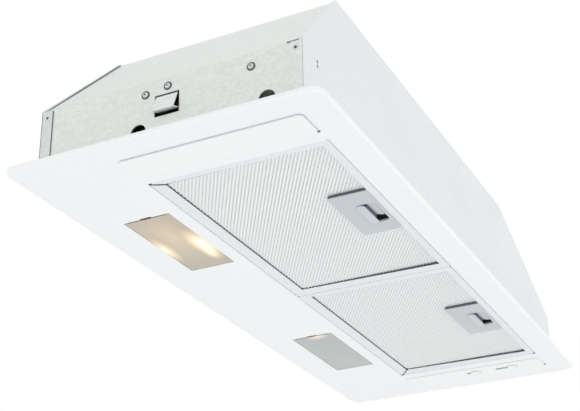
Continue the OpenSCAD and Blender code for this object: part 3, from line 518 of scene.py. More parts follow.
def carved(bm, cutter):
    """bm with cutter taken away, both freed."""
    obs = []
    for b in (bm, cutter):
        bmesh.ops.recalc_face_normals(b, faces=b.faces)
        me = bpy.data.meshes.new("carve")
        b.to_mesh(me)
        b.free()
        ob = bpy.data.objects.new("carve", me)
        bpy.context.scene.collection.objects.link(ob)
        obs.append(ob)
    mod = obs[0].modifiers.new("cut", "BOOLEAN")
    mod.object = obs[1]
    mod.operation = "DIFFERENCE"
    mod.solver = "EXACT"
    graph = bpy.context.evaluated_depsgraph_get()
    out = bmesh.new()
    out.from_mesh(obs[0].evaluated_get(graph).data)
    for ob in obs:
        me = ob.data
        bpy.data.objects.remove(ob)
        bpy.data.meshes.remove(me)
    return out


# ---------------------------------------------------------------- carried-over CAD nodes
def finish_node(name, mat, bevel):
    """A CAD node keeps its shape; its sharp edges get a small radius, bevel in millimetres."""
    ob = NODES[name]
    ob.data.materials.clear()
    ob.data.materials.append(MAT[mat])
    weld = ob.modifiers.new("weld", "WELD")
    weld.merge_threshold = 2e-6
    flat = ob.modifiers.new("flat", "DECIMATE")
    flat.decimate_type = "DISSOLVE"
    flat.angle_limit = math.radians(0.4)
    edge = ob.modifiers.new("edge", "BEVEL")
    edge.width = bevel * MM
    edge.segments = 2
    edge.limit_method = "ANGLE"
    edge.angle_limit = math.radians(40)
    edge.use_clamp_overlap = True
    even = ob.modifiers.new("even", "WEIGHTED_NORMAL")
    even.keep_sharp = False


for names, mat, bevel in (
    (("face_panel",), "enamel", 0.35),
    (("blank_strip", "control_strip"), "strip", 0.5),
    (("housing_shell",), "galv", 0.2),
    (("front_side_plate",), "galv_plate", 0.2),
    (("rear_side_plate",), "galv_rear", 0.2),
    (("clip_plate_near", "clip_plate_far"), "steel", 0.15),
    (("lamp_housing_near", "lamp_housing_far"), "galv_part", 0.2),
    (("lamp_reflector_near", "lamp_reflector_far"), "bright", 0.1),
    (("lamp_holder_near", "lamp_holder_far"), "ceramic", 0.4),
    (("light_switch", "speed_switch"), "grey", 0.3),
    (("lamp_transformer",), "potting", 1.2),
    (("blower_shell_near", "blower_shell_far"), "black", 0.5),
    (("motor_shaft", "damper_pin"), "steel", 0.2),
    (("motor_bracket",), "galv_part", 0.2),
    (("motor",), "motor", 1.0),
    (("capacitor",), "cap_case", 0.8),
    (("outlet_collar",), "grey", 0.4),
    (("damper_flap_near", "damper_flap_far"), "grey", 0.25),
    (("terminal_box", "terminal_box_lid"), "black", 0.5),
):
    for n in names:
        finish_node(n, mat, bevel)


# ---------------------------------------------------------------- screws
def screw(length, style):
    """A screw along +Z whose head sits on z = 0. Styles: a cross-slotted pan head, a domed head on a rim,
    and a low head with a wide hollow. The cross slots, the rim, the dome's centre dot and the hollow are near-black:
    painted shade."""
    out = bmesh.new()
    if style == "cross":
        r, h = SCREW_HEAD_R * MM, SCREW_HEAD_H * MM
        head = lathe([(0, h), (0.35 * r, h), (0.66 * r, 0.95 * h), (0.86 * r, 0.76 * h), (0.97 * r, 0.42 * h),
                      (r, 0.15 * h), (r, 0), (0, 0)], 28)
        for a, b in ((0.55, 2.0), (2.0, 0.55)):
            head = carved(head, block((-a * MM, -b * MM, 0.75 * MM), (a * MM, b * MM, 3 * MM), 0.0001, 1))
        me = bpy.data.meshes.new("head")
        for f in head.faces:
            c = f.calc_center_median()
            # Faces inside the cross slots take the near-black painted shade.
            f.material_index = int(0.1 * MM < c.z < 1.2 * MM and math.hypot(c.x, c.y) < 2.2 * MM)
        head.to_mesh(me)
        head.free()
        out.from_mesh(me)
        bpy.data.meshes.remove(me)
    elif style == "rimmed":
        dome = [(0, 1.75), (1.2, 1.65), (2.0, 1.3), (2.4, 0.75), (2.5, 0.3), (0, 0.3)]
        rim = [(2.3, 0.35), (2.9, 0.75), (3.4, 0.65), (3.6, 0.3), (3.6, 0), (0, 0), (0, 0.35)]
        merged(out, lathe([(r * MM, z * MM) for r, z in dome], 28), 0)
        # The rim and the centre dot take the near-black painted shade.
        merged(out, lathe([(r * MM, z * MM) for r, z in rim], 28), 1)
        merged(out, lathe([(0, 1.95 * MM), (0.75 * MM, 1.9 * MM), (0.8 * MM, 1.5 * MM), (0, 1.5 * MM)], 10), 1)
    else:
        low = [(0, 0.5), (2.3, 0.5), (2.8, 0.3), (3.0, 0), (0, 0)]
        pit = [(0, 0.62), (1.1, 0.62), (1.45, 0.45), (1.5, 0.2), (0, 0.2)]
        merged(out, lathe([(r * MM, z * MM) for r, z in low], 24), 0)
        # The wide hollow in the low head takes the near-black painted shade.
        merged(out, lathe([(r * MM, z * MM) for r, z in pit], 9), 1)
    turns = max(3, int(length / (0.8 * MM)))
    shank = [(0, 0)]
    for i in range(turns):
        z = -length * i / turns
        shank += [(1.2 * MM, z - 0.05 * MM), (1.6 * MM, z - 0.5 * length / turns)]
    shank += [(1.1 * MM, -length), (0, -length)]
    merged(out, lathe(shank, 14), 0)
    me = bpy.data.meshes.new("screw")
    out.to_mesh(me)
    out.free()
    return me


def heads(node):
    """Where each separate screw of a node sits: the box of each loose part."""
    ob = NODES[node]
    bm = bmesh.new()
    bm.from_mesh(ob.data)
    bmesh.ops.remove_doubles(bm, verts=bm.verts, dist=2e-6)
    seen, found = set(), []
    for start in bm.verts:
        if start.index in seen:
            continue
        group, queue = [], [start]
        seen.add(start.index)
        while queue:
            v = queue.pop()
            group.append(v.co.copy())
            for e in v.link_edges:
                o = e.other_vert(v)
                if o.index not in seen:
                    seen.add(o.index)
                    queue.append(o)
        lo = Vector([min(c[k] for c in group) for k in range(3)])
        hi = Vector([max(c[k] for c in group) for k in range(3)])
        found.append((lo, hi))
    bm.free()
    return found


def put_screws(node, axis, name, length, style="cross"):
    """Detailed screws in place of a node; axis(middle) is the way a head faces."""
    master = screw(length * MM, style)
    bm = bmesh.new()
    for k, (lo, hi) in enumerate(heads(node)):
        mid = (lo + hi) / 2
        way = Vector(axis(mid))
        place = Vector(mid)
        index = max(range(3), key=lambda i: abs(way[i]))
        top = hi[index] if way[index] > 0 else lo[index]
        place[index] = top - way[index] * SCREW_HEAD_H * MM
        turn = way.to_track_quat("Z", "Y").to_matrix().to_4x4() @ Matrix.Rotation(0.5 + 1.3 * k, 4, "Z")
        copy = bmesh.new()
        copy.from_mesh(master)
        copy.transform(Matrix.Translation(place) @ turn)
        me = bpy.data.meshes.new("one")
        copy.to_mesh(me)
        copy.free()
        bm.from_mesh(me)
        bpy.data.meshes.remove(me)
    bpy.data.meshes.remove(master)
    head = "zinc" if style == "cross" else "galv_part"
    return piece(name, bm, "housing", [head, "recess_shade"], [node])


def outward_x(mid):
    return (1, 0, 0) if mid.x > 0 else (-1, 0, 0)


put_screws("side_plate_screws", outward_x, "screws_side_plates", 5, "low")
put_screws("end_wall_screws", outward_x, "screws_end_walls", 4.5, "rimmed")
put_screws("panel_screws", lambda mid: (0, 0, 1), "screws_panel", 1.6)
put_screws("blower_screws", lambda mid: (0, 0, 1), "screws_blower", 6)
put_screws("collar_screws", lambda mid: (0, 0, 1), "screws_collar", 5)
put_screws("motor_screws", lambda mid: (-1, 0, 0), "screws_motor", 3)


# ---------------------------------------------------------------- grease filters
CELL_X, CELL_Y = 5.55 * MM, 3.41 * MM
TAB_REACH, TAB_HALF, TAB_OFFSET = 5.0 * MM, 8 * MM, 90 * MM
FRAME_BORDER, FRAME_FRONT_BORDER = 10.0, 8.0


def expanded_metal(x0, x1, y0, y1, z, thick, hole):
    """A slit-and-stretched sheet: diamonds in staggered rows, with sloping strands. hole is a box left out."""
    open_x, open_y = 0.38, 0.40
    bm = bmesh.new()
    points = {}

    def vert(key, co):
        if key not in points:
            points[key] = bm.verts.new(co)
        return points[key]

    cols, rows = int((x1 - x0) / (CELL_X / 2)), int((y1 - y0) / (CELL_Y / 2))
    ox = (x0 + x1) / 2 - cols / 2 * CELL_X / 2
    oy = (y0 + y1) / 2 - rows / 2 * CELL_Y / 2
    for j in range(1, rows):
        for i in range(1, cols):
            if (i + j) % 2:
                continue
            cx, cy = ox + i * CELL_X / 2, oy + j * CELL_Y / 2
            if hole[0] < cx < hole[2] and hole[1] < cy < hole[3]:
                continue
            reach = ((1, 0), (0, 1), (-1, 0), (0, -1))
            outer, inner, back = [], [], []
            for dx, dy in reach:
                lift = -0.12 * MM if dx else 0.10 * MM
                outer.append(vert((i + dx, j + dy), (cx + dx * CELL_X / 2, cy + dy * CELL_Y / 2, z + lift)))
                px, py = cx + dx * CELL_X / 2 * open_x, cy + dy * CELL_Y / 2 * open_y
                slope = 0.16 * MM * dy
                inner.append(bm.verts.new((px, py, z + slope)))
                back.append(bm.verts.new((px, py, z + slope + thick)))
            for k in range(4):
                n = (k + 1) % 4
                bm.faces.new((outer[k], outer[n], inner[n], inner[k]))
                bm.faces.new((inner[k], inner[n], back[n], back[k]))
    return bm


def crumpled(x0, x1, y0, y1, z0, z1, hole):
    """A closed pad whose two faces are crumpled like knitted metal, left out round a box."""
    step, height = 2.2 * MM, 0.5 * MM
    bm = bmesh.new()
    nx, ny = int((x1 - x0) / step), int((y1 - y0) / step)
    xs, ys = np.linspace(x0, x1, nx + 1), np.linspace(y0, y1, ny + 1)

    def solid(i, j):
        if not (0 <= i < nx and 0 <= j < ny):
            return False
        cx, cy = (xs[i] + xs[i + 1]) / 2, (ys[j] + ys[j + 1]) / 2
        return not (hole[0] < cx < hole[2] and hole[1] < cy < hole[3])

    points = {}

    def vert(i, j, top):
        key = (i, j, top)
        if key not in points:
            rough = noise.noise(Vector((i * 0.83, j * 0.79, 7.3 * top))) * height
            points[key] = bm.verts.new((xs[i], ys[j], (z1 - height if top else z0 + height) + rough))
        return points[key]

    for i in range(nx):
        for j in range(ny):
            if not solid(i, j):
                continue
            corners = ((i, j), (i + 1, j), (i + 1, j + 1), (i, j + 1))
            bm.faces.new([vert(a, b, 1) for a, b in corners])
            bm.faces.new([vert(a, b, 0) for a, b in reversed(corners)])
            sides = zip(corners, corners[1:] + corners[:1])
            for (a, b), (di, dj) in zip(sides, ((0, -1), (1, 0), (0, 1), (-1, 0))):
                if not solid(i + di, j + dj):
                    bm.faces.new((vert(*a, 1), vert(*a, 0), vert(*b, 0), vert(*b, 1)))
    return bm


def channel_frame(lo, hi):
    """The cassette's folded channel, mitred round the four sides, with its corners nipped off."""
    # The sheet's section as (distance in from the outer edge, height above the underside), in mm.
    section = [(0.0, 8.2), (0.0, 1.1), (0.25, 0.35), (0.9, 0.0), (2.0, 0.05), (9.1, 1.9), (9.55, 2.1), (9.75, 2.45),
               (9.5, 2.7), (9.0, 2.65), (1.9, 0.95), (1.2, 1.1), (0.95, 1.5), (0.95, 7.9), (1.2, 8.15), (8.6, 8.15),
               (8.6, 9.0), (1.0, 9.0), (0.3, 8.75)]
    bm = bmesh.new()
    loops = []
    for u, h in section:
        u *= MM
        nip = max(0.0, 1.8 * MM - u)
        share = FRAME_FRONT_BORDER / FRAME_BORDER
        x0, x1 = lo.x + u, hi.x - u
        y0, y1 = lo.y + (u * share if u > 1.3 * MM else u), hi.y - u
        # The lip rises towards the mesh, less along the front, where it meets the latch.
        front_z = lo.z + (h * 0.4 if u > 1.5 * MM and h < 3 else h) * MM
        z = lo.z + h * MM
        ring = [(x0 + nip, y0), (x1 - nip, y0), (x1, y0 + nip), (x1, y1 - nip),
                (x1 - nip, y1), (x0 + nip, y1), (x0, y1 - nip), (x0, y0 + nip)]
        loops.append([bm.verts.new((x, y, front_z if k in (0, 1, 2, 7) else z)) for k, (x, y) in enumerate(ring)])
    for a, b in zip(loops, loops[1:] + loops[:1]):
        for k in range(8):
            n = (k + 1) % 8
            bm.faces.new((a[k], a[n], b[n], b[k]))
    bmesh.ops.remove_doubles(bm, verts=bm.verts, dist=1e-6)
    return bm


def mitre_gap(bm, corner, way, front, radius):
    """The open mitre at a corner of the channel and the pinched hole at its inner end, as near-black shapes that paint
    the shade in them.
    """
    share = 0.8 if front else 1.0
    merged(bm, lathe([(0, -0.2 * MM), (1.5 * MM, 0.0), (1.7 * MM, 0.6 * MM), (0, 0.8 * MM)], 12), 1,
           Matrix.Translation(corner + Vector((way[0] * 1.2, way[1] * 1.2, 0)) * MM))
    pts = [corner + Vector((way[0] * u, way[1] * u * share, h)) * MM
           for u, h in ((0.9, 0.25), (5.0, 1.0), (9.6, 2.3))]
    merged(bm, tube(pts, radius, 6), 1)
    merged(bm, lathe([(0, -0.7 * MM), (1.1 * MM, -0.4 * MM), (1.3 * MM, 0.2 * MM), (0, 0.8 * MM)], 12), 1,
           Matrix.Translation(pts[-1] + Vector((way[0], way[1], 0)) * 0.9 * MM))


# The corners whose mitre stands open: (frame, X side, Y side, half the gap's width).
OPEN_MITRES = (("near", -1, 1, 1.0 * MM), ("far", 1, 1, 0.8 * MM), ("far", 1, -1, 0.5 * MM))
for end, _ in SIDES:
    body = "filter_" + end
    lo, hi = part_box("filter_frame_" + end)
    # The frame's box ends at its tabs, which reach out past the channel at the rear.
    outer_hi = Vector((hi.x, hi.y - TAB_REACH, hi.z))
    plate_lo, plate_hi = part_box("latch_plate_" + end)
    # The rear and near edges nearly close the gap to the panel.
    close = 0.45 * MM
    frame_lo = Vector((lo.x - (close if end == "near" else 0), lo.y, lo.z))
    bm = channel_frame(frame_lo, outer_hi + Vector((0, close, 0)))
    mid_x = (lo.x + hi.x) / 2
    for dx in (-TAB_OFFSET, TAB_OFFSET):
        tab = block((mid_x + dx - TAB_HALF, outer_hi.y - 1 * MM, lo.z + 3.5 * MM),
                    (mid_x + dx + TAB_HALF, hi.y, lo.z + 5.1 * MM), 0.0005)
        merged(bm, tab)
    for which, side_x, side_y, radius in OPEN_MITRES:
        if which == end:
            corner = Vector((outer_hi.x if side_x > 0 else lo.x, outer_hi.y if side_y > 0 else lo.y, lo.z))
            mitre_gap(bm, corner, (-side_x, -side_y), side_y < 0, radius)
    piece("frame_" + end, bm, body, ["frame", "recess_shade"], ["filter_frame_" + end])

    # The visible sheet lies just above the lip; the pad and the rear sheet reach into the channel.
    lip_x, lip_y = 8.9 * MM, 7.0 * MM
    inset = 2.2 * MM
    x0, x1 = lo.x + inset, outer_hi.x - inset
    y0, y1 = lo.y + inset, outer_hi.y - inset
    under_plate = 3.2 * MM
    hole = (plate_lo.x + under_plate, plate_lo.y + under_plate - 20 * MM,
            plate_hi.x - under_plate, plate_hi.y - under_plate)
    bm = expanded_metal(lo.x + lip_x, outer_hi.x - lip_x, lo.y + lip_y, outer_hi.y - lip_x,
                        lo.z + 3.1 * MM, 0.35 * MM, hole)
    piece("mesh_" + end, bm, body, ["mesh"], ["filter_mesh_" + end], 60)
    back_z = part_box("filter_back_" + end)[0].z
    bm = expanded_metal(x0, x1, y0, y1, back_z + 0.1 * MM, 0.4 * MM, hole)
    piece("back_mesh_" + end, bm, body, ["mesh"], ["filter_back_" + end], 60)
    core_lo, core_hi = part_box("filter_core_" + end)
    gap = 1.0 * MM
    wide_hole = (plate_lo.x - gap, plate_lo.y - 30 * MM, plate_hi.x + gap, plate_hi.y + gap)
    bm = crumpled(x0, x1, y0, y1, core_lo.z + 1.6 * MM, core_hi.z - 0.2 * MM, wide_hole)
    piece("pad_" + end, bm, body, ["pad"], ["filter_core_" + end], 80)


# ---------------------------------------------------------------- latches
def about(cx, cy, z):
    """Two helpers that take millimetres about a point: one for a corner, one for an outline in XY."""
    def corner(x, y, h):
        return Vector((cx + x * MM, cy + y * MM, z + h * MM))

    def outline(*sizes):
        return [(cx + x * MM, cy + y * MM) for x, y in rounded(*sizes)]

    return corner, outline


def latch_plate_mesh(cx, cy, z):
    """The grey plate: a skin with a finger pocket through it, a near-black well behind that paints the shade inside
    it, and two ribs.
    """
    p, outline = about(cx, cy, z)
    skin = prism(outline(-40, 40, -18, 18, 1.4), z, z + 1.8 * MM, 0.0005, 3)
    pocket = prism(outline(-17, 20, -15, 0.2, 4.2, 8), z - 2 * MM, z + 4 * MM, 0)
    skin = carved(skin, pocket)
    sharp = [e for e in skin.edges if len(e.link_faces) == 2 and e.calc_face_angle(0) > 1.2
             and max(v.co.z for v in e.verts) < z + 0.05 * MM]
    bmesh.ops.bevel(skin, geom=sharp, offset=0.35 * MM, segments=2, affect="EDGES", profile=0.5)
    out = bmesh.new()
    merged(out, skin, 0)
    # The well's walls and roof, near-black: painted shade inside the well.
    for a, b in (((-24, -16.4, 1.7), (-22.6, 16.4, 8.4)), ((24.6, -16.4, 1.7), (26, 16.4, 8.4)),
                 ((-24, 15.2, 1.7), (26, 16.5, 8.4)), ((-24, -16.4, 7.2), (26, 16.4, 8.4))):
        merged(out, block(p(*a), p(*b), 0.0002, 1), 1)
    # A near-black block: the painted shadow in the gap along the plate's near side.
    merged(out, block(p(-40.4, -16.6, 0.6), p(-39.2, 17.0, 2.4), 0.0002, 1), 1)
    for x in (-33, 33):
        merged(out, block(p(x - 0.7, -14, 1.7), p(x + 0.7, 14, 4.5), 0.0002, 1), 0)
    return out


def latch_slide_mesh(cx, cy, z):
    """The raised pull bar, its shadow, the ramp in the pocket, the slide's body and the tongue."""
    p, outline = about(cx, cy, z)
    out = bmesh.new()
    merged(out, prism(outline(-16.5, 20, -5.4, 2, 3.0, 7), z - 0.8 * MM, z - 0.1 * MM, 0.0003, 3), 0)
    # A near-black block along the pull bar's edge: its painted shadow.
    merged(out, block(p(-13, -6.5, -0.3), p(9.5, -4.2, 2.6), 0.0002, 1), 1)
    ramp = prism([(-14.0, 1.0), (-12.6, 0.9), (-6.2, 2.5), (-6.2, 3.5), (-14.0, 2.2)], 0, 26.2, 0.2, 2)
    ramp.transform(Matrix.Translation(p(-16.7, 0, 0)) @ Matrix.Scale(MM, 4)
                   @ Matrix(((0, 0, 1, 0), (1, 0, 0, 0), (0, 1, 0, 0), (0, 0, 0, 1))))
    merged(out, ramp, 2)
    merged(out, block(p(-22, -14, 2.6), p(9.5, 6, 4.2), 0.0003), 2)
    merged(out, block(p(-12, -26.1, 2.6), p(9, -13, 4.2), 0.0005), 2)
    return out


def helix(centre, y0, y1, radius, wire, turns):
    """A wire coil along Y round centre, which is (x, z)."""
    pts = []
    for i in range(turns * 16 + 1):
        a = 2 * math.pi * i / 16
        y = y0 + wire + (y1 - y0 - 2 * wire) * i / (turns * 16)
        pts.append((centre[0] + radius * math.cos(a), y, centre[1] + radius * math.sin(a)))
    return tube(pts, wire, 7)


for end, _ in SIDES:
    lo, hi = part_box("latch_plate_" + end)
    cx, cy, z = (lo.x + hi.x) / 2, (lo.y + hi.y) / 2, lo.z
    piece("latch_" + end, latch_plate_mesh(cx, cy, z), "filter_" + end, ["latch", "latch_shade"],
          ["latch_plate_" + end])
    piece("pull_" + end, latch_slide_mesh(cx, cy, z), "latch_" + end, ["pull", "latch_shade", "latch"],
          ["latch_slide_" + end])
    lo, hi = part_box("latch_spring_" + end)
    mid = (lo + hi) / 2
    coil = piece("coil_" + end, helix((mid.x, mid.z), lo.y, hi.y, 1.9 * MM, 0.3 * MM, 7), "filter_" + end, ["steel"],
                 ["latch_spring_" + end])
    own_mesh(coil)


# ---------------------------------------------------------------- lamps
for end, _ in SIDES:
    lo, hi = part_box("lamp_lens_" + end)
    y_mid = (lo.y + hi.y) / 2
    bm = block((lo.x + 0.8 * MM, lo.y, lo.z), (hi.x - 0.8 * MM, hi.y, hi.z), 0.0007, 3)
    # Small moulded lugs that hold the short ends.
    for x, way in ((lo.x, 1), (hi.x, -1)):
        for y in (-0.55, 0.55):
            my = y_mid + y * (hi.y - lo.y) / 2
            a, b = sorted((x + way * 0.2 * MM, x + way * 3.4 * MM))
            merged(bm, block((a, my - 2.6 * MM, lo.z + 0.4 * MM), (b, my + 2.6 * MM, hi.z + 0.6 * MM), 0.0004), 1)
    # A near-black strip painting the shade in the gap along the near short edge, wider where the holder's tab stands.
    near_x, half = lo.x + 0.5 * MM, (hi.y - lo.y) / 2 - 3 * MM
    for before, after, reach in ((0.3 * MM, 0.3 * MM, half), (0.4 * MM, 0.8 * MM, 4 * MM)):
        merged(bm, block((near_x - before, y_mid - reach, lo.z - 0.1 * MM),
                         (near_x + after, y_mid + reach, lo.z + 0.5 * MM)), 2)
    piece("lens_" + end, bm, "lens_" + end, ["lens_" + end, "ivory", "painted_shade"], ["lamp_lens_" + end])

    lo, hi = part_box("lamp_bulb_" + end)
    mid = (lo + hi) / 2
    r = (hi.y - lo.y) / 2
    glass = [(0, 0)] + [(r * math.sin(a), r - r * math.cos(a)) for a in (0.3, 0.7, 1.1, 1.57)]
    glass += [(r, 30 * MM), (0.96 * r, 32.5 * MM), (0.86 * r, 34 * MM), (0.84 * r, 44 * MM), (0, 44 * MM)]
    bm = lathe(glass, 28)
    merged(bm, helix((0, 0), 12 * MM, 24 * MM, 0.9 * MM, 0.15 * MM, 6), 1, Matrix.Rotation(math.radians(90), 4, "X"))
    bm.transform(Matrix.Translation((lo.x, mid.y, mid.z)) @ Matrix.Rotation(math.radians(90), 4, "Y"))
    piece("bulb_" + end, bm, "housing", ["bulb_" + end, "steel"], ["lamp_bulb_" + end])


# ---------------------------------------------------------------- cabinet clips
for end, sign in SIDES:
    lo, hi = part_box("clip_tongue_" + end)
    wall = sign * CLIP_WALL_X * MM
    path = [(wall - sign * 1.2 * MM, 39.5 * MM), (wall, 38.6 * MM),
            (wall + sign * 6 * MM, 23.8 * MM), (wall - sign * 3 * MM, 27 * MM)]
    bm = swept(strip_outline(filleted(path, 1.4 * MM), 0.8 * MM), lo.y, hi.y)
    piece("tongue_" + end, bm, "clip_" + end, ["spring"], ["clip_tongue_" + end], 30)


# ---------------------------------------------------------------- seams
# Thin near-black tubes, painting the shadow lines where the side plates' flanges lap over the shell, and down their
# folded corners, near end only.
# The outside sizes of part.scad's sheet housing, in millimetres.
WALL_X, SIDE_Y, BEND_Z = 327.5, 117.5, 55.3
TOP_X, TOP_Y, TOP_Z = 240, 108.5, 146.5
FLANGE, TOP_FLANGE = 10, 4
rear_edge, front_edge = SIDE_Y - FLANGE, FLANGE - SIDE_Y
seam_shadow_lines = (
    # The rear flange on the wall, its folded corner, and its narrow part up the shoulder.
    ([(-WALL_X + 0.7, rear_edge, -1), (-WALL_X + 0.7, rear_edge, BEND_Z - 1)], 0.42),
    ([(-WALL_X + 0.15, SIDE_Y - 0.15, -1), (-WALL_X + 0.15, SIDE_Y - 0.15, BEND_Z)], 0.35),
    ([(-WALL_X + 2.4, SIDE_Y - TOP_FLANGE - 0.5, BEND_Z + 1.6),
      (-TOP_X - 1.3, TOP_Y - TOP_FLANGE - 0.5, TOP_Z - 1)], 0.38),
    # The front flange, its corner, and the relief at the bend.
    ([(-WALL_X + 0.8, front_edge, -1), (-WALL_X + 0.8, front_edge, BEND_Z - 1)], 0.2),
    ([(-WALL_X + 0.2, -SIDE_Y + 0.2, -1), (-WALL_X + 0.2, -SIDE_Y + 0.2, BEND_Z)], 0.24),
    ([(-WALL_X + 0.4, front_edge + 3, BEND_Z - 0.6), (-WALL_X + 0.4, -SIDE_Y + 1, BEND_Z - 0.6)], 0.4),
)
bm = bmesh.new()
for pts, radius in seam_shadow_lines:
    merged(bm, tube([Vector(p) * MM for p in pts], radius * MM, 6))
piece("seam_shadows", bm, "housing", ["painted_shade"], ())

# A soft grey line round the near and front edges of the blank strip: its painted edge shadow.
lo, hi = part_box("blank_strip")
x0, y0, r, z = lo.x - 0.15 * MM, lo.y - 0.15 * MM, 4 * MM, hi.z - 0.5 * MM
path = [(x0, hi.y - r, z), (x0, y0 + r, z)]
path += [(x0 + r - r * math.cos(a), y0 + r - r * math.sin(a), z) for a in (0.4, 0.8, 1.2, 1.57)]
path += [(hi.x - 2 * MM, y0, z)]
piece("strip_edge_shadow", tube(path, 0.5 * MM, 6), "housing", ["edge_shadow_grey"], ())


# ---------------------------------------------------------------- controls
for name in ("light_slider", "speed_slider"):
    lo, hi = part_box(name)
    mid = (lo + hi) / 2
    cap_top = lo.z + 2.4 * MM
    bm = block(lo, (hi.x, hi.y, cap_top), 0.0007, 3)
    for k in (-2, -1, 0, 1, 2):
        y = mid.y + k * 1.5 * MM
        merged(bm, block((lo.x + 1.2 * MM, y - 0.3 * MM, lo.z - 0.35 * MM),
                         (hi.x - 1.2 * MM, y + 0.3 * MM, lo.z + 0.4 * MM), 0.0003), 0)
    merged(bm, block((mid.x - 2 * MM, mid.y - 2.5 * MM, cap_top - 0.2 * MM),
                     (mid.x + 2 * MM, mid.y + 2.5 * MM, hi.z), 0.0003), 0)
    piece(name + "_knob", bm, name, ["strip"], [name])

# Near-black plugs at the strips' front corners, painting the shade in the small holes there.
bm = bmesh.new()
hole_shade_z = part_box("blank_strip")[0].z + 1.4 * MM
for strip in ("blank_strip", "control_strip"):
    lo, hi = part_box(strip)
    painted_shade = lathe([(0, -0.5 * MM), (0.9 * MM, -0.45 * MM), (1.35 * MM, -0.2 * MM), (1.4 * MM, 0.6 * MM),
                 (0, 0.6 * MM)], 20)
    merged(bm, painted_shade, 0, Matrix.Translation((hi.x - 0.4 * MM, lo.y + 0.2 * MM, hole_shade_z)))
piece("strip_hole_shades", bm, "housing", ["painted_shade"], ())


# ---------------------------------------------------------------- blower
def fan_wheel(lo, hi):
    """A double-inlet wheel with forward-curved blades, two rings, a middle disc and a hub."""
    mid = (lo + hi) / 2
    r_out, half = (hi.z - lo.z) / 2, (hi.x - lo.x) / 2
    bm = bmesh.new()
    count = 30
    for i in range(count):
        arc = []
        for s in range(6):
            t = s / 5
            arc.append(((0.79 + 0.19 * t) * r_out, 0.16 * t * t + 2 * math.pi * i / count))
        path = [(r * math.cos(a), r * math.sin(a)) for r, a in arc]
        merged(bm, prism(strip_outline(path, 0.9 * MM), -half + 1 * MM, half - 1 * MM, 0))
    ring = [(0.775 * r_out, 0), (r_out, 0), (r_out, 2.2 * MM), (0.775 * r_out, 1.2 * MM)]
    merged(bm, lathe(ring, 64), 0, Matrix.Translation((0, 0, -half)))
    merged(bm, lathe([(r, -z) for r, z in ring], 64), 0, Matrix.Translation((0, 0, half)))
    disc = [(3.05 * MM, -1 * MM), (0.985 * r_out, -1 * MM), (0.985 * r_out, 1 * MM), (12 * MM, 1 * MM),
            (10 * MM, 3 * MM), (9.6 * MM, 13 * MM), (3.05 * MM, 13 * MM)]
    merged(bm, lathe(disc, 64))
    for i in range(6):
        rib = block((10 * MM, -0.6 * MM, 0.8 * MM), (0.7 * r_out, 0.6 * MM, 3 * MM), 0.0003, 1)
        merged(bm, rib, 0, Matrix.Rotation(math.pi * i / 3, 4, "Z"))
    bm.transform(Matrix.Translation(mid) @ Matrix.Rotation(math.radians(90), 4, "Y"))
    return bm


piece("fan_wheel", fan_wheel(*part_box("impeller")), "rotor", ["fan"], ["impeller"])


# ---------------------------------------------------------------- outlet and cable gland
lo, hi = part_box("outlet_collar")
mid = (lo + hi) / 2
collar_r = COLLAR_R * MM
bm = bmesh.new()
for h in (26, 34, 42):
    bead = [(collar_r - 0.3 * MM, -1.2 * MM), (collar_r + 0.45 * MM, -0.6 * MM), (collar_r + 0.6 * MM, 0),
            (collar_r + 0.45 * MM, 0.6 * MM), (collar_r - 0.3 * MM, 1.2 * MM)]
    merged(bm, lathe(bead, 96), 0, Matrix.Translation((mid.x, mid.y, lo.z + h * MM)))
for k in range(12):
    a = math.radians(15 + 30 * k)
    web = prism([(60, 0), (68.5, 0), (60, 9)], -0.8, 0.8, 0.2, 1)
    web.transform(Matrix.Translation((mid.x, mid.y, lo.z + 1.9 * MM)) @ Matrix.Rotation(a, 4, "Z")
                  @ Matrix.Rotation(math.radians(90), 4, "X") @ Matrix.Scale(MM, 4))
    merged(bm, web)
piece("collar_ribs", bm, "housing", ["grey"], ())

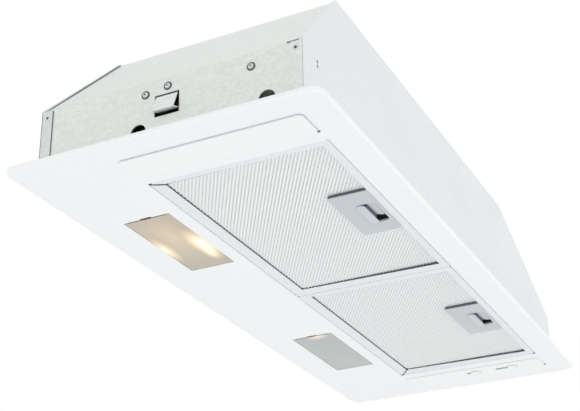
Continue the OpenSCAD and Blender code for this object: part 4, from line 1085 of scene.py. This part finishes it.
for end, sign in SIDES:
    lo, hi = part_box("damper_flap_" + end)
    pin_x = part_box("damper_pin")[0].x + 1.5 * MM
    bm = bmesh.new()
    for y in (-15, 0, 15):
        a, b = sorted((pin_x + sign * 9 * MM, pin_x + sign * 48 * MM))
        merged(bm, block((a, (y - 0.6) * MM, (lo.z + hi.z) / 2 + 0.4 * MM),
                         (b, (y + 0.6) * MM, (lo.z + hi.z) / 2 + 1.8 * MM), 0.0004))
    piece("flap_ribs_" + end, bm, "flap_" + end, ["grey"], ())

lo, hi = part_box("cable_gland")
mid = (lo + hi) / 2
bore = 3.8 * MM
hex_r, hex_z = 11 * MM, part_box("housing_shell")[1].z
bm = lathe([(bore, lo.z), (6.3 * MM, lo.z), (6.3 * MM, hex_z), (bore, hex_z)], 32)
hexagon = lathe([(bore, hex_z), (hex_r, hex_z), (hex_r, hex_z + 4.4 * MM), (hex_r - 0.9 * MM, hex_z + 5 * MM),
                 (bore, hex_z + 5 * MM)], 6)
merged(bm, hexagon)


def ribbed(angle, radius, _z):
    """Grip ribs round the gland's nut."""
    return radius * (1 + 0.035 * math.cos(18 * angle)) if radius > 7 * MM else radius


dome = [(bore, hex_z + 5 * MM), (8.0 * MM, hex_z + 5 * MM), (8.0 * MM, hex_z + 10.5 * MM),
        (7.2 * MM, hex_z + 12.4 * MM), (5.6 * MM, hex_z + 13.6 * MM), (4.4 * MM, hi.z), (bore, hi.z - 0.3 * MM)]
merged(bm, lathe(dome, 144, ribbed))
bm.transform(Matrix.Translation((mid.x, mid.y, 0)))
piece("gland", bm, "housing", ["black"], ["cable_gland"], 30)


# ---------------------------------------------------------------- stage
def make_floor():
    """A plain pale floor, far enough below to stay out of the camera's upward view."""
    bm = bmesh.new()
    bmesh.ops.create_grid(bm, x_segments=8, y_segments=8, size=14)
    me = bpy.data.meshes.new("floor")
    bm.to_mesh(me)
    bm.free()
    f = Finish("floor_paper")
    f.set(Base_Color=f.mix(f.noise(0.6, 2), (0.90, 0.905, 0.91), (0.93, 0.932, 0.935)), Roughness=0.85)
    me.materials.append(f.mat)
    ob = bpy.data.objects.new("floor", me)
    ob.location = (0, 0, FLOOR_Z)
    bpy.context.scene.collection.objects.link(ob)


make_floor()
